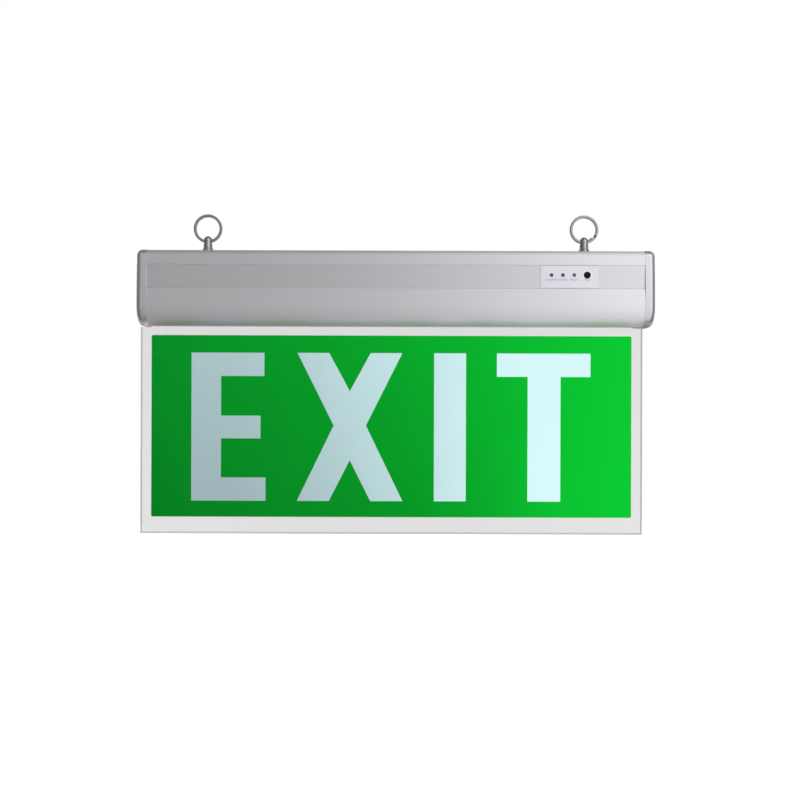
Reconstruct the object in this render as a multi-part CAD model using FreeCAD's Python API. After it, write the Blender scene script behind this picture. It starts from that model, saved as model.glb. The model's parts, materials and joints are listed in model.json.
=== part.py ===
# Ceiling-hung emergency exit light: an extruded aluminium housing with two moulded end caps carries an
# edge-lit sign panel in a slot along its underside. Inside are the light bar, the gear tray with the driver
# and the battery pack, and the indicator board with its test switch. Two studs with split rings hang it up.
#
# All lengths are millimetres. X runs along the housing, the front faces -Y and +Z is up. The origin is on
# the housing's top face, at its centre, midway between the two hanging studs.

import FreeCAD
import Part
import math
import os

V = FreeCAD.Vector
X_AXIS = V(1, 0, 0)
Y_AXIS = V(0, 1, 0)
Z_AXIS = V(0, 0, 1)

# Housing extrusion
HOUSING_LENGTH = 350.0
HOUSING_DEPTH = 38.0
HOUSING_HEIGHT = 53.25
WALL = 1.6
TOP_CORNER_RADIUS = 4.6
LOWER_CORNER_RADIUS = 14.0
SIDE_SETBACK = 1.0          # the side leans back by this much between the bulge and the label band
BAND_DROP = 10.2            # from the top face to the label band
BAND_HEIGHT = 16.8
BAND_DEPTH = 0.5
GUIDE_HEIGHT = 8.5          # walls of the panel slot, measured from the underside
RAIL_REACH = 2.0            # how far the tray rails stand out of the side walls
RAIL_THICKNESS = 1.2
PORT_BORE = 2.9             # screw ports for the end caps
PORT_WALL = 1.4
PORT_INSET = 5.6            # from the housing's widest side to a port's axis
UPPER_PORT_DROP = 8.0
LOWER_PORT_RISE = 19.25      # from the underside up to a lower port's axis

# End caps and their screws
CAP_THICKNESS = 7.25
CAP_FLOOR = 2.4
CAP_LIP = 0.2               # the cap stands proud of the extrusion by this much
CAP_EDGE_RADIUS = 3.8
SCREW_HEAD_DIAMETER = 5.6
SCREW_HEAD_HEIGHT = 1.9
SCREW_HEAD_SINK = 2.1       # the heads lie just under the cap's face
SCREW_LENGTH = 14.0
SCREW_CLEARANCE = 0.3
HEAD_SIDE_SHARE = 0.45      # share of a pan head's height that its straight side takes
HEAD_CROWN_SHARE = 0.6      # share of its width that its flat top takes
RECESS_ARM_SHARE = 0.2      # width of a cross recess's arm over its length
NUT_SHARE = 0.8             # a small nut's height over its thread's diameter
THREAD_RUNOUT = 1.5         # bare thread past the nut
THREAD_GAP = 0.03           # a nut's bore stands off its thread by this much

# Sign panel
PANEL_OVERHANG = 7.9        # the panel is this much longer than the housing
PANEL_DROP = 147.75         # visible height below the housing
SHEET_THICKNESS = 2.0
SHEET_BEVEL = 1.5
LIGHT_GUIDE_THICKNESS = 4.0
TONGUE_SLACK = 7.0          # the tongue is this much shorter than the housing
TONGUE_END_GAP = 0.6        # the panel is pushed up against the left end cap
SHOULDER_GAP = 0.5
SLOT_CLEARANCE = 0.4
REFLECTOR_THICKNESS = 0.4
FIELD_BELOW_HOUSING = 6.25
FIELD_SIDE_BORDER = 8.1
FIELD_FOOT_BORDER = 12.3
FIELD_CORNER_RADIUS = 1.2
FILM_THICKNESS = 0.25

# Light bar
CHANNEL_WALL = 1.5
CHANNEL_HEIGHT = 14.0
CHANNEL_CLEARANCE = 0.15
CHANNEL_FLANGE = 3.4
LED_BOARD_THICKNESS = 1.0
EMITTER_LENGTH = 3.5
EMITTER_WIDTH = 2.8
EMITTER_HEIGHT = 0.8
EMITTER_PITCH = 20.0
EMITTER_GAP = 0.5
CLAMP_SCREW_DIAMETER = 3.0
CLAMP_SCREW_INSET = 41.5    # from the tongue's ends
CLAMP_SCREW_COUNT = 3
CLAMP_HEAD_SHARE = 1.8      # width of a clamp screw's head and nut over its thread's diameter

# Gear tray, driver and battery
TRAY_THICKNESS = 1.2
TRAY_GAP = 1.3              # between the light bar and the tray
TRAY_END_GAP = 3.0
RAIL_CLEARANCE = 0.15
INSULATOR_THICKNESS = 0.4
STANDOFF_HEIGHT = 4.0
STANDOFF_DIAMETER = 5.0
DRIVER_LENGTH = 106.0
DRIVER_RAIL_GAP = 0.9       # between the driver board's sides and the tray rails' tips
DRIVER_X = -65.0
BOARD_THICKNESS = 1.6
BOARD_SCREW_INSET = 3.0
TRANSFORMER_WIDTH = 14.3
TRANSFORMER_HEIGHT = 12.2
TRANSFORMER_BASE = 2.4
WINDING_SHARE = 0.76        # width of the winding over the transformer's
CORE_SHARE = 0.4            # width of the core over the transformer's
TRANSFORMER_OFFSET = -12.7  # along the board, from its centre
CAPACITORS = [              # offset along the board, offset across it, diameter, height
    (-38.0, 0.0, 10.0, 13.0),
    (10.6, 4.7, 8.0, 11.0),
    (20.0, -4.7, 8.0, 11.0),
]
FUSE_OFFSET = -26.5         # along the board, from its centre
FUSE_EDGE_INSET = 5.2       # from the board's rear edge to the fuse's axis
FUSE_DIAMETER = 5.2
FUSE_HEIGHT = 7.3
HEADER_SIZE = 5.7
HEADER_HEIGHT = 6.2
HEADER_PITCH = 7.8
HEADER_EDGE_GAP = 0.8
CELL_DIAMETER = 14.5
CELL_LENGTH = 49.5
CELL_COUNT = 3
BATTERY_GAP = 16.75         # from the driver board's end to the pack
BATTERY_WALL_GAP = 0.55     # between the pack's clips and the back wall
CLIP_THICKNESS = 0.7
CLIP_WIDTH = 9.0
CLIP_MOUTH = 12.7
SLEEVE_NIP = 0.45           # how far the shrink sleeve draws in between two cells
SLEEVE_SHOULDER = 1.45      # and over the ends
TERMINAL_INSET = 17.0       # from the housing's left end
TERMINAL_LENGTH = 11.0
TERMINAL_POLE_PITCH = 7.0
TERMINAL_POLES = 3
TERMINAL_HEIGHT = 11.0
TERMINAL_ENTRY_HEIGHT = 3.7
TERMINAL_ENTRY_DIAMETER = 3.5
TERMINAL_WELL_DIAMETER = 4.7
TERMINAL_WELL_DEPTH = 5.5
TERMINAL_SCREW_DIAMETER = 4.4
TERMINAL_SCREW_HEIGHT = 2.8
SCREW_SLOT_WIDTH = 0.9
SCREW_SLOT_DEPTH = 0.9

# Indicator plate, lamps and test button
STATUS_INSET = 53.3         # from the housing's right end to the plate's middle
STATUS_PLATE_LENGTH = 40.4
STATUS_PLATE_THICKNESS = 0.5
STATUS_PLATE_CORNER = 1.0
STATUS_PLATE_MARGIN = 0.15
LAMP_DROP = 17.35
LAMP_PITCH = 8.0
LAMP_WINDOW_DIAMETER = 2.6  # the plate's window over a lamp
LAMP_SINK = 0.1             # a lamp's tip stays behind the plate's front by this much
LAMP_DIAMETER = 3.0
LAMP_CLEARANCE = 0.1
LAMP_BODY = 5.2
LAMP_FLANGE = 0.4
LAMP_FLANGE_THICKNESS = 1.0
LAMP_LEG_DIAMETER = 0.5
LAMP_LEG_PITCH = 1.8
FIRST_LAMP_OFFSET = -12.6   # from the plate's centre to the first lamp
BUTTON_OFFSET = 12.5        # from the plate's centre to the test button
BUTTON_DIAMETER = 4.6
BUTTON_CLEARANCE = 0.15
BUTTON_STANDOUT = 1.2
BUTTON_TRAVEL = 1.0
BUTTON_EDGE = 0.35
BUTTON_FLANGE = 0.8
BUTTON_FLANGE_THICKNESS = 0.8
BUTTON_WALL_GAP = 0.2
STEM_DIAMETER = 2.5
STEM_CLEARANCE = 0.05
STEM_OVERTRAVEL = 0.3
INDICATOR_BOARD_LENGTH = 41.0
INDICATOR_BOARD_HEIGHT = 14.0
STATUS_SCREW_REACH = 17.7   # from the plate's centre, along it
STATUS_SCREW_RISE = 3.5     # one screw stands this far above the lamps' line, the other as far below
STATUS_SCREW_DIAMETER = 2.5
STATUS_SCREW_HEAD = 4.6
INDICATOR_STANDOFF = 6.3    # from the side wall to the indicator board
SWITCH_SIZE = 5.0
SWITCH_HEIGHT = 3.5
SWITCH_FLOOR = 0.8

# Hanging studs, rings and cable inlet
STUD_INSET = 40.5           # from the housing's ends
STUD_DIAMETER = 6.2
STUD_HEIGHT = 11.5
STUD_EYE_HEIGHT = 7.6
STUD_THREAD_DIAMETER = 5.0
COLLAR_DIAMETER = 7.8
COLLAR_HEIGHT = 1.8
COLLAR_TAPER = 1.8
WASHER_DIAMETER = 10.0
WASHER_THICKNESS = 1.0
NUT_ACROSS_FLATS = 8.0
NUT_HEIGHT = 4.0
RING_OUTER_DIAMETER = 20.5
RING_WIRE_WIDTH = 2.0
RING_WIRE_THICKNESS = 1.0
RING_TURN_GAP = 0.06
RING_EYE_CLEARANCE = 0.42
RING_JOG_DEG = 16.0
INLET_INSET = 22.0          # from the housing's left end
INLET_BORE = 6.5
GROMMET_WALL = 1.5
GROMMET_FLANGE = 1.4
GROMMET_FLANGE_HEIGHT = 0.9
LEAD_DIAMETER = 1.6
LEAD_RISE = 6.5             # how far a lead stands up from its header before it turns
LEAD_HOLE_DIAMETER = 5.0

# Sizes that follow from the ones above
half_length = HOUSING_LENGTH / 2
panel_width = HOUSING_LENGTH + PANEL_OVERHANG
tongue_width = HOUSING_LENGTH - TONGUE_SLACK
panel_x = tongue_width / 2 + TONGUE_END_GAP - half_length
tray_half = half_length - TRAY_END_GAP
terminal_x = TERMINAL_INSET - half_length
inlet_x = INLET_INSET - half_length
status_x = half_length - STATUS_INSET
stud_x = half_length - STUD_INSET
driver_end = DRIVER_X + DRIVER_LENGTH / 2
battery_x = driver_end + BATTERY_GAP + CELL_COUNT * CELL_LENGTH / 2
half_depth = HOUSING_DEPTH / 2
underside = -HOUSING_HEIGHT
bulge_z = underside + LOWER_CORNER_RADIUS
band_top = -BAND_DROP
band_bottom = -(BAND_DROP + BAND_HEIGHT)
band_edge = half_depth - SIDE_SETBACK
band_face = band_edge - BAND_DEPTH
inner_face = band_face - WALL
battery_y = inner_face - BATTERY_WALL_GAP - CLIP_THICKNESS - CELL_DIAMETER / 2
rail_tip = inner_face - RAIL_REACH
driver_half = rail_tip - DRIVER_RAIL_GAP
panel_half = LIGHT_GUIDE_THICKNESS / 2 + SHEET_THICKNESS
slot_half = panel_half + SLOT_CLEARANCE
guide_top = underside + GUIDE_HEIGHT
port_y = half_depth - PORT_INSET
port_radius = PORT_BORE / 2 + PORT_WALL
lower_port_drop = HOUSING_HEIGHT - LOWER_PORT_RISE
channel_top = guide_top + CHANNEL_HEIGHT
channel_gap = LIGHT_GUIDE_THICKNESS / 2 + CHANNEL_CLEARANCE
led_board_top = channel_top - CHANNEL_WALL
emitter_top = led_board_top - LED_BOARD_THICKNESS
light_guide_top = emitter_top - EMITTER_HEIGHT - EMITTER_GAP
clamp_z = (light_guide_top + guide_top + CHANNEL_WALL) / 2
clamp_face = channel_gap + CHANNEL_WALL
clamp_nut_height = NUT_SHARE * CLAMP_SCREW_DIAMETER
clamp_head = CLAMP_HEAD_SHARE * CLAMP_SCREW_DIAMETER
status_nut_height = NUT_SHARE * STATUS_SCREW_DIAMETER
tray_bottom = channel_top + TRAY_GAP
tray_top = tray_bottom + TRAY_THICKNESS
driver_bottom = tray_top + INSULATOR_THICKNESS + STANDOFF_HEIGHT
driver_top = driver_bottom + BOARD_THICKNESS
battery_z = tray_top + CLIP_THICKNESS + CELL_DIAMETER / 2
shoulder_z = underside - SHOULDER_GAP
panel_bottom = underside - PANEL_DROP
field_top = underside - FIELD_BELOW_HOUSING
plate_front = band_face + STATUS_PLATE_THICKNESS
board_front = inner_face - INDICATOR_STANDOFF
button_x = status_x + BUTTON_OFFSET
ring_mean_radius = (RING_OUTER_DIAMETER - RING_WIRE_WIDTH) / 2
ring_half_thickness = RING_WIRE_THICKNESS + RING_TURN_GAP / 2


def block(x, y, z):
    """A box from three (low, high) spans."""
    size = [high - low for low, high in (x, y, z)]
    return Part.makeBox(*size, V(x[0], y[0], z[0]))


def rod(radius, start, axis, length):
    return Part.makeCylinder(radius, length, start, axis)


def joined(shapes):
    """One solid from several that touch or overlap."""
    whole = shapes[0].multiFuse(shapes[1:]) if len(shapes) > 1 else shapes[0]
    return whole.removeSplitter()


def turned(points, place, axis=Z_AXIS):
    """A solid of revolution from (radius, height) corners, stood on place along axis."""
    corners = [V(r, 0, h) for r, h in points]
    face = Part.Face(Part.makePolygon(corners + corners[:1]))
    solid = face.revolve(V(0, 0, 0), Z_AXIS, 360)
    solid.Placement = FreeCAD.Placement(place, FreeCAD.Rotation(Z_AXIS, axis))
    return solid


def hexagon(across_flats, height, start, axis):
    """A hexagonal prism."""
    radius = across_flats / math.sqrt(3)
    corners = [V(radius * math.cos(math.radians(a)), radius * math.sin(math.radians(a)), 0)
               for a in range(30, 391, 60)]
    prism = Part.Face(Part.makePolygon(corners)).extrude(V(0, 0, height))
    prism.Placement = FreeCAD.Placement(start, FreeCAD.Rotation(Z_AXIS, axis))
    return prism


def mirrored_outline(half_edges):
    """A closed face in the YZ plane from the edges of its +Y half."""
    other_half = [e.mirror(V(0, 0, 0), Y_AXIS) for e in half_edges]
    wire = Part.Wire(Part.__sortEdges__(list(half_edges) + other_half))
    return Part.Face(wire)


def line(start, end):
    return Part.LineSegment(V(0, *start), V(0, *end)).toShape()


def arc(centre, radius, start_deg, end_deg):
    """An arc in the YZ plane, with angles from +Y towards +Z."""
    def at(degrees):
        a = math.radians(degrees)
        return V(0, centre[0] + radius * math.cos(a), centre[1] + radius * math.sin(a))
    return Part.Arc(at(start_deg), at((start_deg + end_deg) / 2), at(end_deg)).toShape()


def bulge_arc(low, high):
    """An arc that leaves low straight up and bends back to high, with its lean at the top in degrees."""
    rise = high[1] - low[1]
    setback = low[0] - high[0]
    radius = (rise ** 2 + setback ** 2) / (2 * setback)
    lean = math.degrees(math.asin(rise / radius))
    return arc((low[0] - radius, low[1]), radius, 0, lean), lean


def upper_edges(facet_low, lean_deg, top):
    """The leaning facet above the label band, the rounded top corner and the top face."""
    lean = math.radians(lean_deg)
    tangent_z = top - TOP_CORNER_RADIUS * (1 - math.sin(lean))
    tangent_y = facet_low[0] - (tangent_z - facet_low[1]) * math.tan(lean)
    centre = (tangent_y - TOP_CORNER_RADIUS * math.cos(lean), top - TOP_CORNER_RADIUS)
    return [line(facet_low, (tangent_y, tangent_z)),
            arc(centre, TOP_CORNER_RADIUS, lean_deg, 90),
            line((centre[0], top), (0, top))]


def lower_edges(side, bottom, radius):
    """Half of the underside and the large round corner that runs up into the side."""
    return [line((0, bottom), (side - radius, bottom)),
            arc((side - radius, bottom + radius), radius, -90, 0)]


def side_lean():
    """The lean of the end cap's side at the label band's top edge."""
    return bulge_arc((half_depth, bulge_z), (band_edge, band_top))[1]


def housing_outline():
    """The extrusion's outer section, with the label band sunk into both sides."""
    bulge, _ = bulge_arc((half_depth, bulge_z), (band_edge, band_bottom))
    low_lip = (band_face, band_bottom + BAND_DEPTH)
    high_lip = (band_face, band_top - BAND_DEPTH)
    band = [line((band_edge, band_bottom), low_lip),
            line(low_lip, high_lip),
            line(high_lip, (band_edge, band_top))]
    edges = lower_edges(half_depth, underside, LOWER_CORNER_RADIUS) + [bulge] + band
    return mirrored_outline(edges + upper_edges((band_edge, band_top), side_lean(), 0))


def cavity_outline():
    """The extrusion's inner section, one wall inside the outer one."""
    corner = TOP_CORNER_RADIUS - WALL
    side = half_depth - WALL
    edges = lower_edges(side, underside + WALL, LOWER_CORNER_RADIUS - WALL)
    edges += [line((side, bulge_z), (inner_face, band_bottom)),
              line((inner_face, band_bottom), (inner_face, -WALL - corner)),
              arc((inner_face - corner, -WALL - corner), corner, 0, 90),
              line((inner_face - corner, -WALL), (0, -WALL))]
    return mirrored_outline(edges)


def cap_outline():
    """The end cap's outer section: the housing's without its band, and proud of it by the lip."""
    side = half_depth + CAP_LIP
    shoulder = band_edge + CAP_LIP
    bulge, lean = bulge_arc((side, bulge_z), (shoulder, band_top))
    edges = lower_edges(side, underside - CAP_LIP, LOWER_CORNER_RADIUS + CAP_LIP) + [bulge]
    return mirrored_outline(edges + upper_edges((shoulder, band_top), lean, CAP_LIP))


def port_places():
    return [(side * port_y, -drop) for drop in (UPPER_PORT_DROP, lower_port_drop) for side in (1, -1)]


def lamp_places():
    return [status_x + FIRST_LAMP_OFFSET + n * LAMP_PITCH for n in range(3)]


def stud_places():
    return [-stud_x, stud_x]


def status_screw_places():
    return [(status_x + side * STATUS_SCREW_REACH, side * STATUS_SCREW_RISE - LAMP_DROP) for side in (-1, 1)]


def along_housing(face, start, length):
    """Extrudes a YZ face along X from start."""
    solid = face.extrude(V(length, 0, 0))
    solid.translate(V(start, 0, 0))
    return solid


def housing_extrusion():
    """The aluminium section: side walls, panel slot, tray rails and screw ports, then its drilled holes."""
    whole = (-half_length, half_length)
    shell = along_housing(housing_outline(), -half_length, HOUSING_LENGTH)
    envelope = shell.copy()
    shell = shell.cut(along_housing(cavity_outline(), -half_length, HOUSING_LENGTH))
    ribs = []
    rail_gap = RAIL_CLEARANCE + TRAY_THICKNESS / 2
    tray_mid = (tray_bottom + tray_top) / 2
    for side in (1, -1):
        guide = sorted((side * slot_half, side * (slot_half + WALL)))
        rail = sorted((side * rail_tip, side * band_face))
        ribs.append(block(whole, guide, (underside + WALL / 2, guide_top)))
        for above in (1, -1):
            span = sorted((tray_mid + above * rail_gap, tray_mid + above * (rail_gap + RAIL_THICKNESS)))
            ribs.append(block(whole, rail, span))
    for y, z in port_places():
        reach = sorted((y, math.copysign(half_depth, y)))
        ribs.append(rod(port_radius, V(-half_length, y, z), X_AXIS, HOUSING_LENGTH))
        ribs.append(block(whole, reach, (z - PORT_WALL, z + PORT_WALL)))
    shell = joined([shell] + [rib.common(envelope) for rib in ribs])

    cuts = [block(whole, (-slot_half, slot_half), (underside - WALL, guide_top))]
    for y, z in port_places():
        cuts.append(rod(PORT_BORE / 2, V(-half_length, y, z), X_AXIS, HOUSING_LENGTH))
        mouth = sorted((y, y - math.copysign(port_radius + PORT_WALL, y)))
        cuts.append(block(whole, mouth, (z - PORT_BORE / 4, z + PORT_BORE / 4)))
    for x in stud_places():
        cuts.append(rod((STUD_THREAD_DIAMETER + SCREW_CLEARANCE) / 2, V(x, 0, -2 * WALL), Z_AXIS, 3 * WALL))
    cuts.append(rod(INLET_BORE / 2 + GROMMET_WALL, V(inlet_x, 0, -2 * WALL), Z_AXIS, 3 * WALL))
    outside = V(0, -half_depth, -LAMP_DROP)
    through = half_depth - inner_face + WALL / 2
    for x in lamp_places():
        cuts.append(rod(LAMP_DIAMETER / 2 + LAMP_CLEARANCE, outside + V(x, 0, 0), Y_AXIS, through))
    cuts.append(rod(BUTTON_DIAMETER / 2 + BUTTON_CLEARANCE, outside + V(button_x, 0, 0), Y_AXIS, through))
    for place in status_screw_places():
        cuts.append(status_screw(place, SCREW_CLEARANCE / 4))
    return shell.cut(Part.makeCompound(cuts))


def end_cap(side):
    """A moulded cup with a rounded rim, a screw post at each port and sunk seats for the screw heads."""
    start = half_length if side > 0 else -half_length - CAP_THICKNESS
    outer_x = side * (half_length + CAP_THICKNESS)
    cup = along_housing(cap_outline(), start, CAP_THICKNESS)
    rim = [e for e in cup.Edges if abs(e.BoundBox.XMin - outer_x) < 1e-6 and e.BoundBox.XLength < 1e-6]
    cup = cup.makeFillet(CAP_EDGE_RADIUS, rim)
    pocket_depth = CAP_THICKNESS - CAP_FLOOR
    pocket_start = half_length if side > 0 else -half_length - pocket_depth
    pocket = along_housing(cavity_outline(), pocket_start, pocket_depth)
    seats = []
    for y, z in port_places():
        foot = V(side * half_length, y, z)
        axis = V(side, 0, 0)
        pocket = pocket.cut(rod(port_radius, foot, axis, pocket_depth))
        seats.append(rod((PORT_BORE + SCREW_CLEARANCE) / 2, foot, axis, CAP_THICKNESS))
        seat_foot = foot + axis * (CAP_THICKNESS - SCREW_HEAD_SINK)
        seats.append(rod((SCREW_HEAD_DIAMETER + SCREW_CLEARANCE) / 2, seat_foot, axis, CAP_THICKNESS))
    return cup.cut(Part.makeCompound([pocket] + seats))


def cross_recess(tip, axis, size, depth):
    """The cross cut into a screw head whose top is at tip."""
    arm = RECESS_ARM_SHARE * size
    bars = [Part.makeBox(size, arm, depth, V(-size / 2, -arm / 2, -depth)),
            Part.makeBox(arm, size, depth, V(-arm / 2, -size / 2, -depth))]
    cross = bars[0].fuse(bars[1])
    cross.Placement = FreeCAD.Placement(tip, FreeCAD.Rotation(Z_AXIS, axis))
    return cross


def pan_screw(seat, outward, diameter, length, head_diameter, head_height):
    """A pan-head screw whose head stands on seat and points outward."""
    radius = head_diameter / 2
    crown = HEAD_CROWN_SHARE * radius
    profile = [(0, -length), (diameter / 2, -length), (diameter / 2, 0), (radius, 0),
               (radius, HEAD_SIDE_SHARE * head_height), (crown, head_height), (0, head_height)]
    screw = turned(profile, seat, outward)
    return screw.cut(cross_recess(seat + outward * head_height, outward, head_diameter / 2, head_height / 2))


def end_cap_screws(side):
    outward = V(side, 0, 0)
    seat_x = side * (half_length + CAP_THICKNESS - SCREW_HEAD_SINK)
    shank = PORT_BORE - SCREW_CLEARANCE / 5
    return [pan_screw(V(seat_x, y, z), outward, shank, SCREW_LENGTH, SCREW_HEAD_DIAMETER, SCREW_HEAD_HEIGHT)
            for y, z in port_places()]


def clamp_screw_places():
    reach = tongue_width / 2 - CLAMP_SCREW_INSET
    pitch = 2 * reach / (CLAMP_SCREW_COUNT - 1)
    return [panel_x - reach + n * pitch for n in range(CLAMP_SCREW_COUNT)]


def tongued_plate(y, tongue_top, inset=0.0):
    """A panel plate between two depths: the visible board with a narrower tongue that enters the slot."""
    centre = panel_x
    half = panel_width / 2 - inset
    tongue = tongue_width / 2
    corners = [(centre - half, panel_bottom + inset), (centre + half, panel_bottom + inset),
               (centre + half, shoulder_z), (centre + tongue, shoulder_z),
               (centre + tongue, tongue_top), (centre - tongue, tongue_top),
               (centre - tongue, shoulder_z), (centre - half, shoulder_z)]
    points = [V(x, y[0], z) for x, z in corners]
    return Part.Face(Part.makePolygon(points + points[:1])).extrude(V(0, y[1] - y[0], 0))


def sign_sheet(side):
    """An opal acrylic sheet with a bevel round its three free edges."""
    inner = side * LIGHT_GUIDE_THICKNESS / 2
    outer = side * panel_half
    sheet = tongued_plate(sorted((inner, outer)), guide_top - SHOULDER_GAP)
    low = panel_bottom
    free_ends = (panel_x - panel_width / 2, panel_x + panel_width / 2)

    def is_free(edge):
        box = edge.BoundBox
        if abs(box.YMin - outer) > 1e-6 or box.YLength > 1e-6:
            return False
        on_bottom = abs(box.ZMin - low) < 1e-6 and box.ZLength < 1e-6
        on_end = box.XLength < 1e-6 and min(abs(box.XMin - x) for x in free_ends) < 1e-6
        return on_bottom or on_end
    return sheet.makeChamfer(SHEET_BEVEL, [e for e in sheet.Edges if is_free(e)])


def legend_film(side):
    """The coloured film field on a sign sheet."""
    y = sorted((side * panel_half, side * (panel_half + FILM_THICKNESS)))
    half = panel_width / 2 - FIELD_SIDE_BORDER
    field = block((panel_x - half, panel_x + half), y, (panel_bottom + FIELD_FOOT_BORDER, field_top))
    corners = [e for e in field.Edges if e.BoundBox.YLength > FILM_THICKNESS / 2]
    return field.makeFillet(FIELD_CORNER_RADIUS, corners)


def light_guide():
    """The clear acrylic guide between the sheets, drilled for the clamp screws."""
    half = LIGHT_GUIDE_THICKNESS / 2
    guide = tongued_plate((-half, half), light_guide_top, REFLECTOR_THICKNESS)
    radius = (CLAMP_SCREW_DIAMETER + SCREW_CLEARANCE) / 2
    holes = [rod(radius, V(x, -half, clamp_z), Y_AXIS, 2 * half) for x in clamp_screw_places()]
    return guide.cut(Part.makeCompound(holes))


def edge_reflector():
    """White tape round the light guide's three free edges."""
    half = LIGHT_GUIDE_THICKNESS / 2
    x = (panel_x - panel_width / 2, panel_x + panel_width / 2)
    whole = block(x, (-half, half), (panel_bottom, shoulder_z))
    inside = (x[0] + REFLECTOR_THICKNESS, x[1] - REFLECTOR_THICKNESS)
    return whole.cut(block(inside, (-half, half), (panel_bottom + REFLECTOR_THICKNESS, shoulder_z)))


def light_bar_channel():
    """The hat-section channel that sits on the slot walls and grips the light guide's tongue."""
    x = (panel_x - tongue_width / 2, panel_x + tongue_width / 2)
    foot = clamp_face + CHANNEL_FLANGE
    body = joined([block(x, (-clamp_face, clamp_face), (guide_top, channel_top)),
                   block(x, (-foot, foot), (guide_top, guide_top + CHANNEL_WALL))])
    body = body.cut(block(x, (-channel_gap, channel_gap), (guide_top, led_board_top)))
    radius = (CLAMP_SCREW_DIAMETER + SCREW_CLEARANCE) / 2
    holes = [rod(radius, V(place, -foot, clamp_z), Y_AXIS, 2 * foot) for place in clamp_screw_places()]
    lead_hole = rod(LEAD_HOLE_DIAMETER / 3, V(lamp_lead_x(), 0, led_board_top), Z_AXIS, CHANNEL_WALL)
    return body.cut(Part.makeCompound(holes + [lead_hole]))


def led_strip_board():
    half = channel_gap - CHANNEL_CLEARANCE
    x = (panel_x - tongue_width / 2, panel_x + tongue_width / 2)
    return block(x, (-half, half), (emitter_top, led_board_top))


def led_emitters():
    """A row of surface-mount emitters that shine down into the light guide."""
    count = int(tongue_width // EMITTER_PITCH)
    first = panel_x - (count - 1) * EMITTER_PITCH / 2
    places = [first + n * EMITTER_PITCH for n in range(count)]
    return [block((x - EMITTER_LENGTH / 2, x + EMITTER_LENGTH / 2), (-EMITTER_WIDTH / 2, EMITTER_WIDTH / 2),
                  (emitter_top - EMITTER_HEIGHT, emitter_top)) for x in places]


def panel_clamp_screws():
    """Screws through the channel and the light guide, heads to the front."""
    length = 2 * clamp_face + clamp_nut_height + THREAD_RUNOUT
    return [pan_screw(V(x, -clamp_face, clamp_z), -Y_AXIS, CLAMP_SCREW_DIAMETER, length, clamp_head,
                      clamp_head / 3) for x in clamp_screw_places()]


def panel_clamp_nuts():
    return [threaded_nut(clamp_head, clamp_nut_height, CLAMP_SCREW_DIAMETER,
                         V(x, clamp_face, clamp_z), Y_AXIS) for x in clamp_screw_places()]


def threaded_nut(across_flats, height, thread, start, axis):
    """A hexagon nut whose bore just clears the thread's outside."""
    nut = hexagon(across_flats, height, start, axis)
    return nut.cut(rod(thread / 2 + THREAD_GAP, start, axis, height))


def gear_tray():
    """The steel tray that slides in the housing's rails."""
    half = inner_face - RAIL_CLEARANCE
    tray = block((-tray_half, tray_half), (-half, half), (tray_bottom, tray_top))
    return tray.cut(rod(LEAD_HOLE_DIAMETER / 2, V(lamp_lead_x(), 0, tray_bottom), Z_AXIS, TRAY_THICKNESS))


def driver_span(margin=0.0):
    x = (DRIVER_X - DRIVER_LENGTH / 2 - margin, driver_end + margin)
    return x, (-driver_half, driver_half)


def driver_insulator():
    x, y = driver_span(STANDOFF_DIAMETER / 2)
    return block(x, y, (tray_top, tray_top + INSULATOR_THICKNESS))


def driver_board():
    x, y = driver_span()
    return block(x, y, (driver_bottom, driver_top))


def driver_standoffs():
    x, y = driver_span(-BOARD_SCREW_INSET)
    across = (y[0] + BOARD_SCREW_INSET, y[1] - BOARD_SCREW_INSET)
    return [rod(STANDOFF_DIAMETER / 2, V(px, py, driver_bottom - STANDOFF_HEIGHT), Z_AXIS, STANDOFF_HEIGHT)
            for px in x for py in across]


def driver_transformer():
    """A small ferrite transformer: bobbin base, round winding and the core across it."""
    x = DRIVER_X + TRANSFORMER_OFFSET
    half = TRANSFORMER_WIDTH / 2
    above_base = driver_top + TRANSFORMER_BASE
    top = driver_top + TRANSFORMER_HEIGHT
    base = block((x - half, x + half), (-half, half), (driver_top, above_base))
    winding = rod(WINDING_SHARE * half, V(x, 0, above_base), Z_AXIS, top - above_base - TRANSFORMER_BASE)
    core = block((x - half, x + half), (-CORE_SHARE * half, CORE_SHARE * half), (above_base, top))
    return joined([base, winding, core])


def round_can(offset, diameter, height):
    """A sleeved can on the driver board, with its rolled crimp and rounded top edge."""
    radius = diameter / 2
    edge = diameter / 16
    profile = [(0, 0), (radius, 0), (radius, 2 * edge), (radius - edge, 3 * edge), (radius, 4 * edge),
               (radius, height - edge), (radius - edge, height), (0, height)]
    return turned(profile, V(DRIVER_X + offset[0], offset[1], driver_top))


def driver_capacitors():
    return [round_can((along, across), diameter, height) for along, across, diameter, height in CAPACITORS]


def driver_fuse():
    return round_can((FUSE_OFFSET, driver_half - FUSE_EDGE_INSET), FUSE_DIAMETER, FUSE_HEIGHT)


def header_places():
    """The battery, light bar and indicator headers, from the back of the board to its front."""
    x = driver_end - HEADER_EDGE_GAP - HEADER_SIZE / 2
    return [(x, y) for y in (HEADER_PITCH, 0.0, -HEADER_PITCH)]


def driver_headers():
    half = HEADER_SIZE / 2
    return [block((x - half, x + half), (y - half, y + half), (driver_top, driver_top + HEADER_HEIGHT))
            for x, y in header_places()]


def terminal_pole_places():
    middle = (TERMINAL_POLES - 1) / 2
    return [(n - middle) * TERMINAL_POLE_PITCH for n in range(TERMINAL_POLES)]


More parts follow.
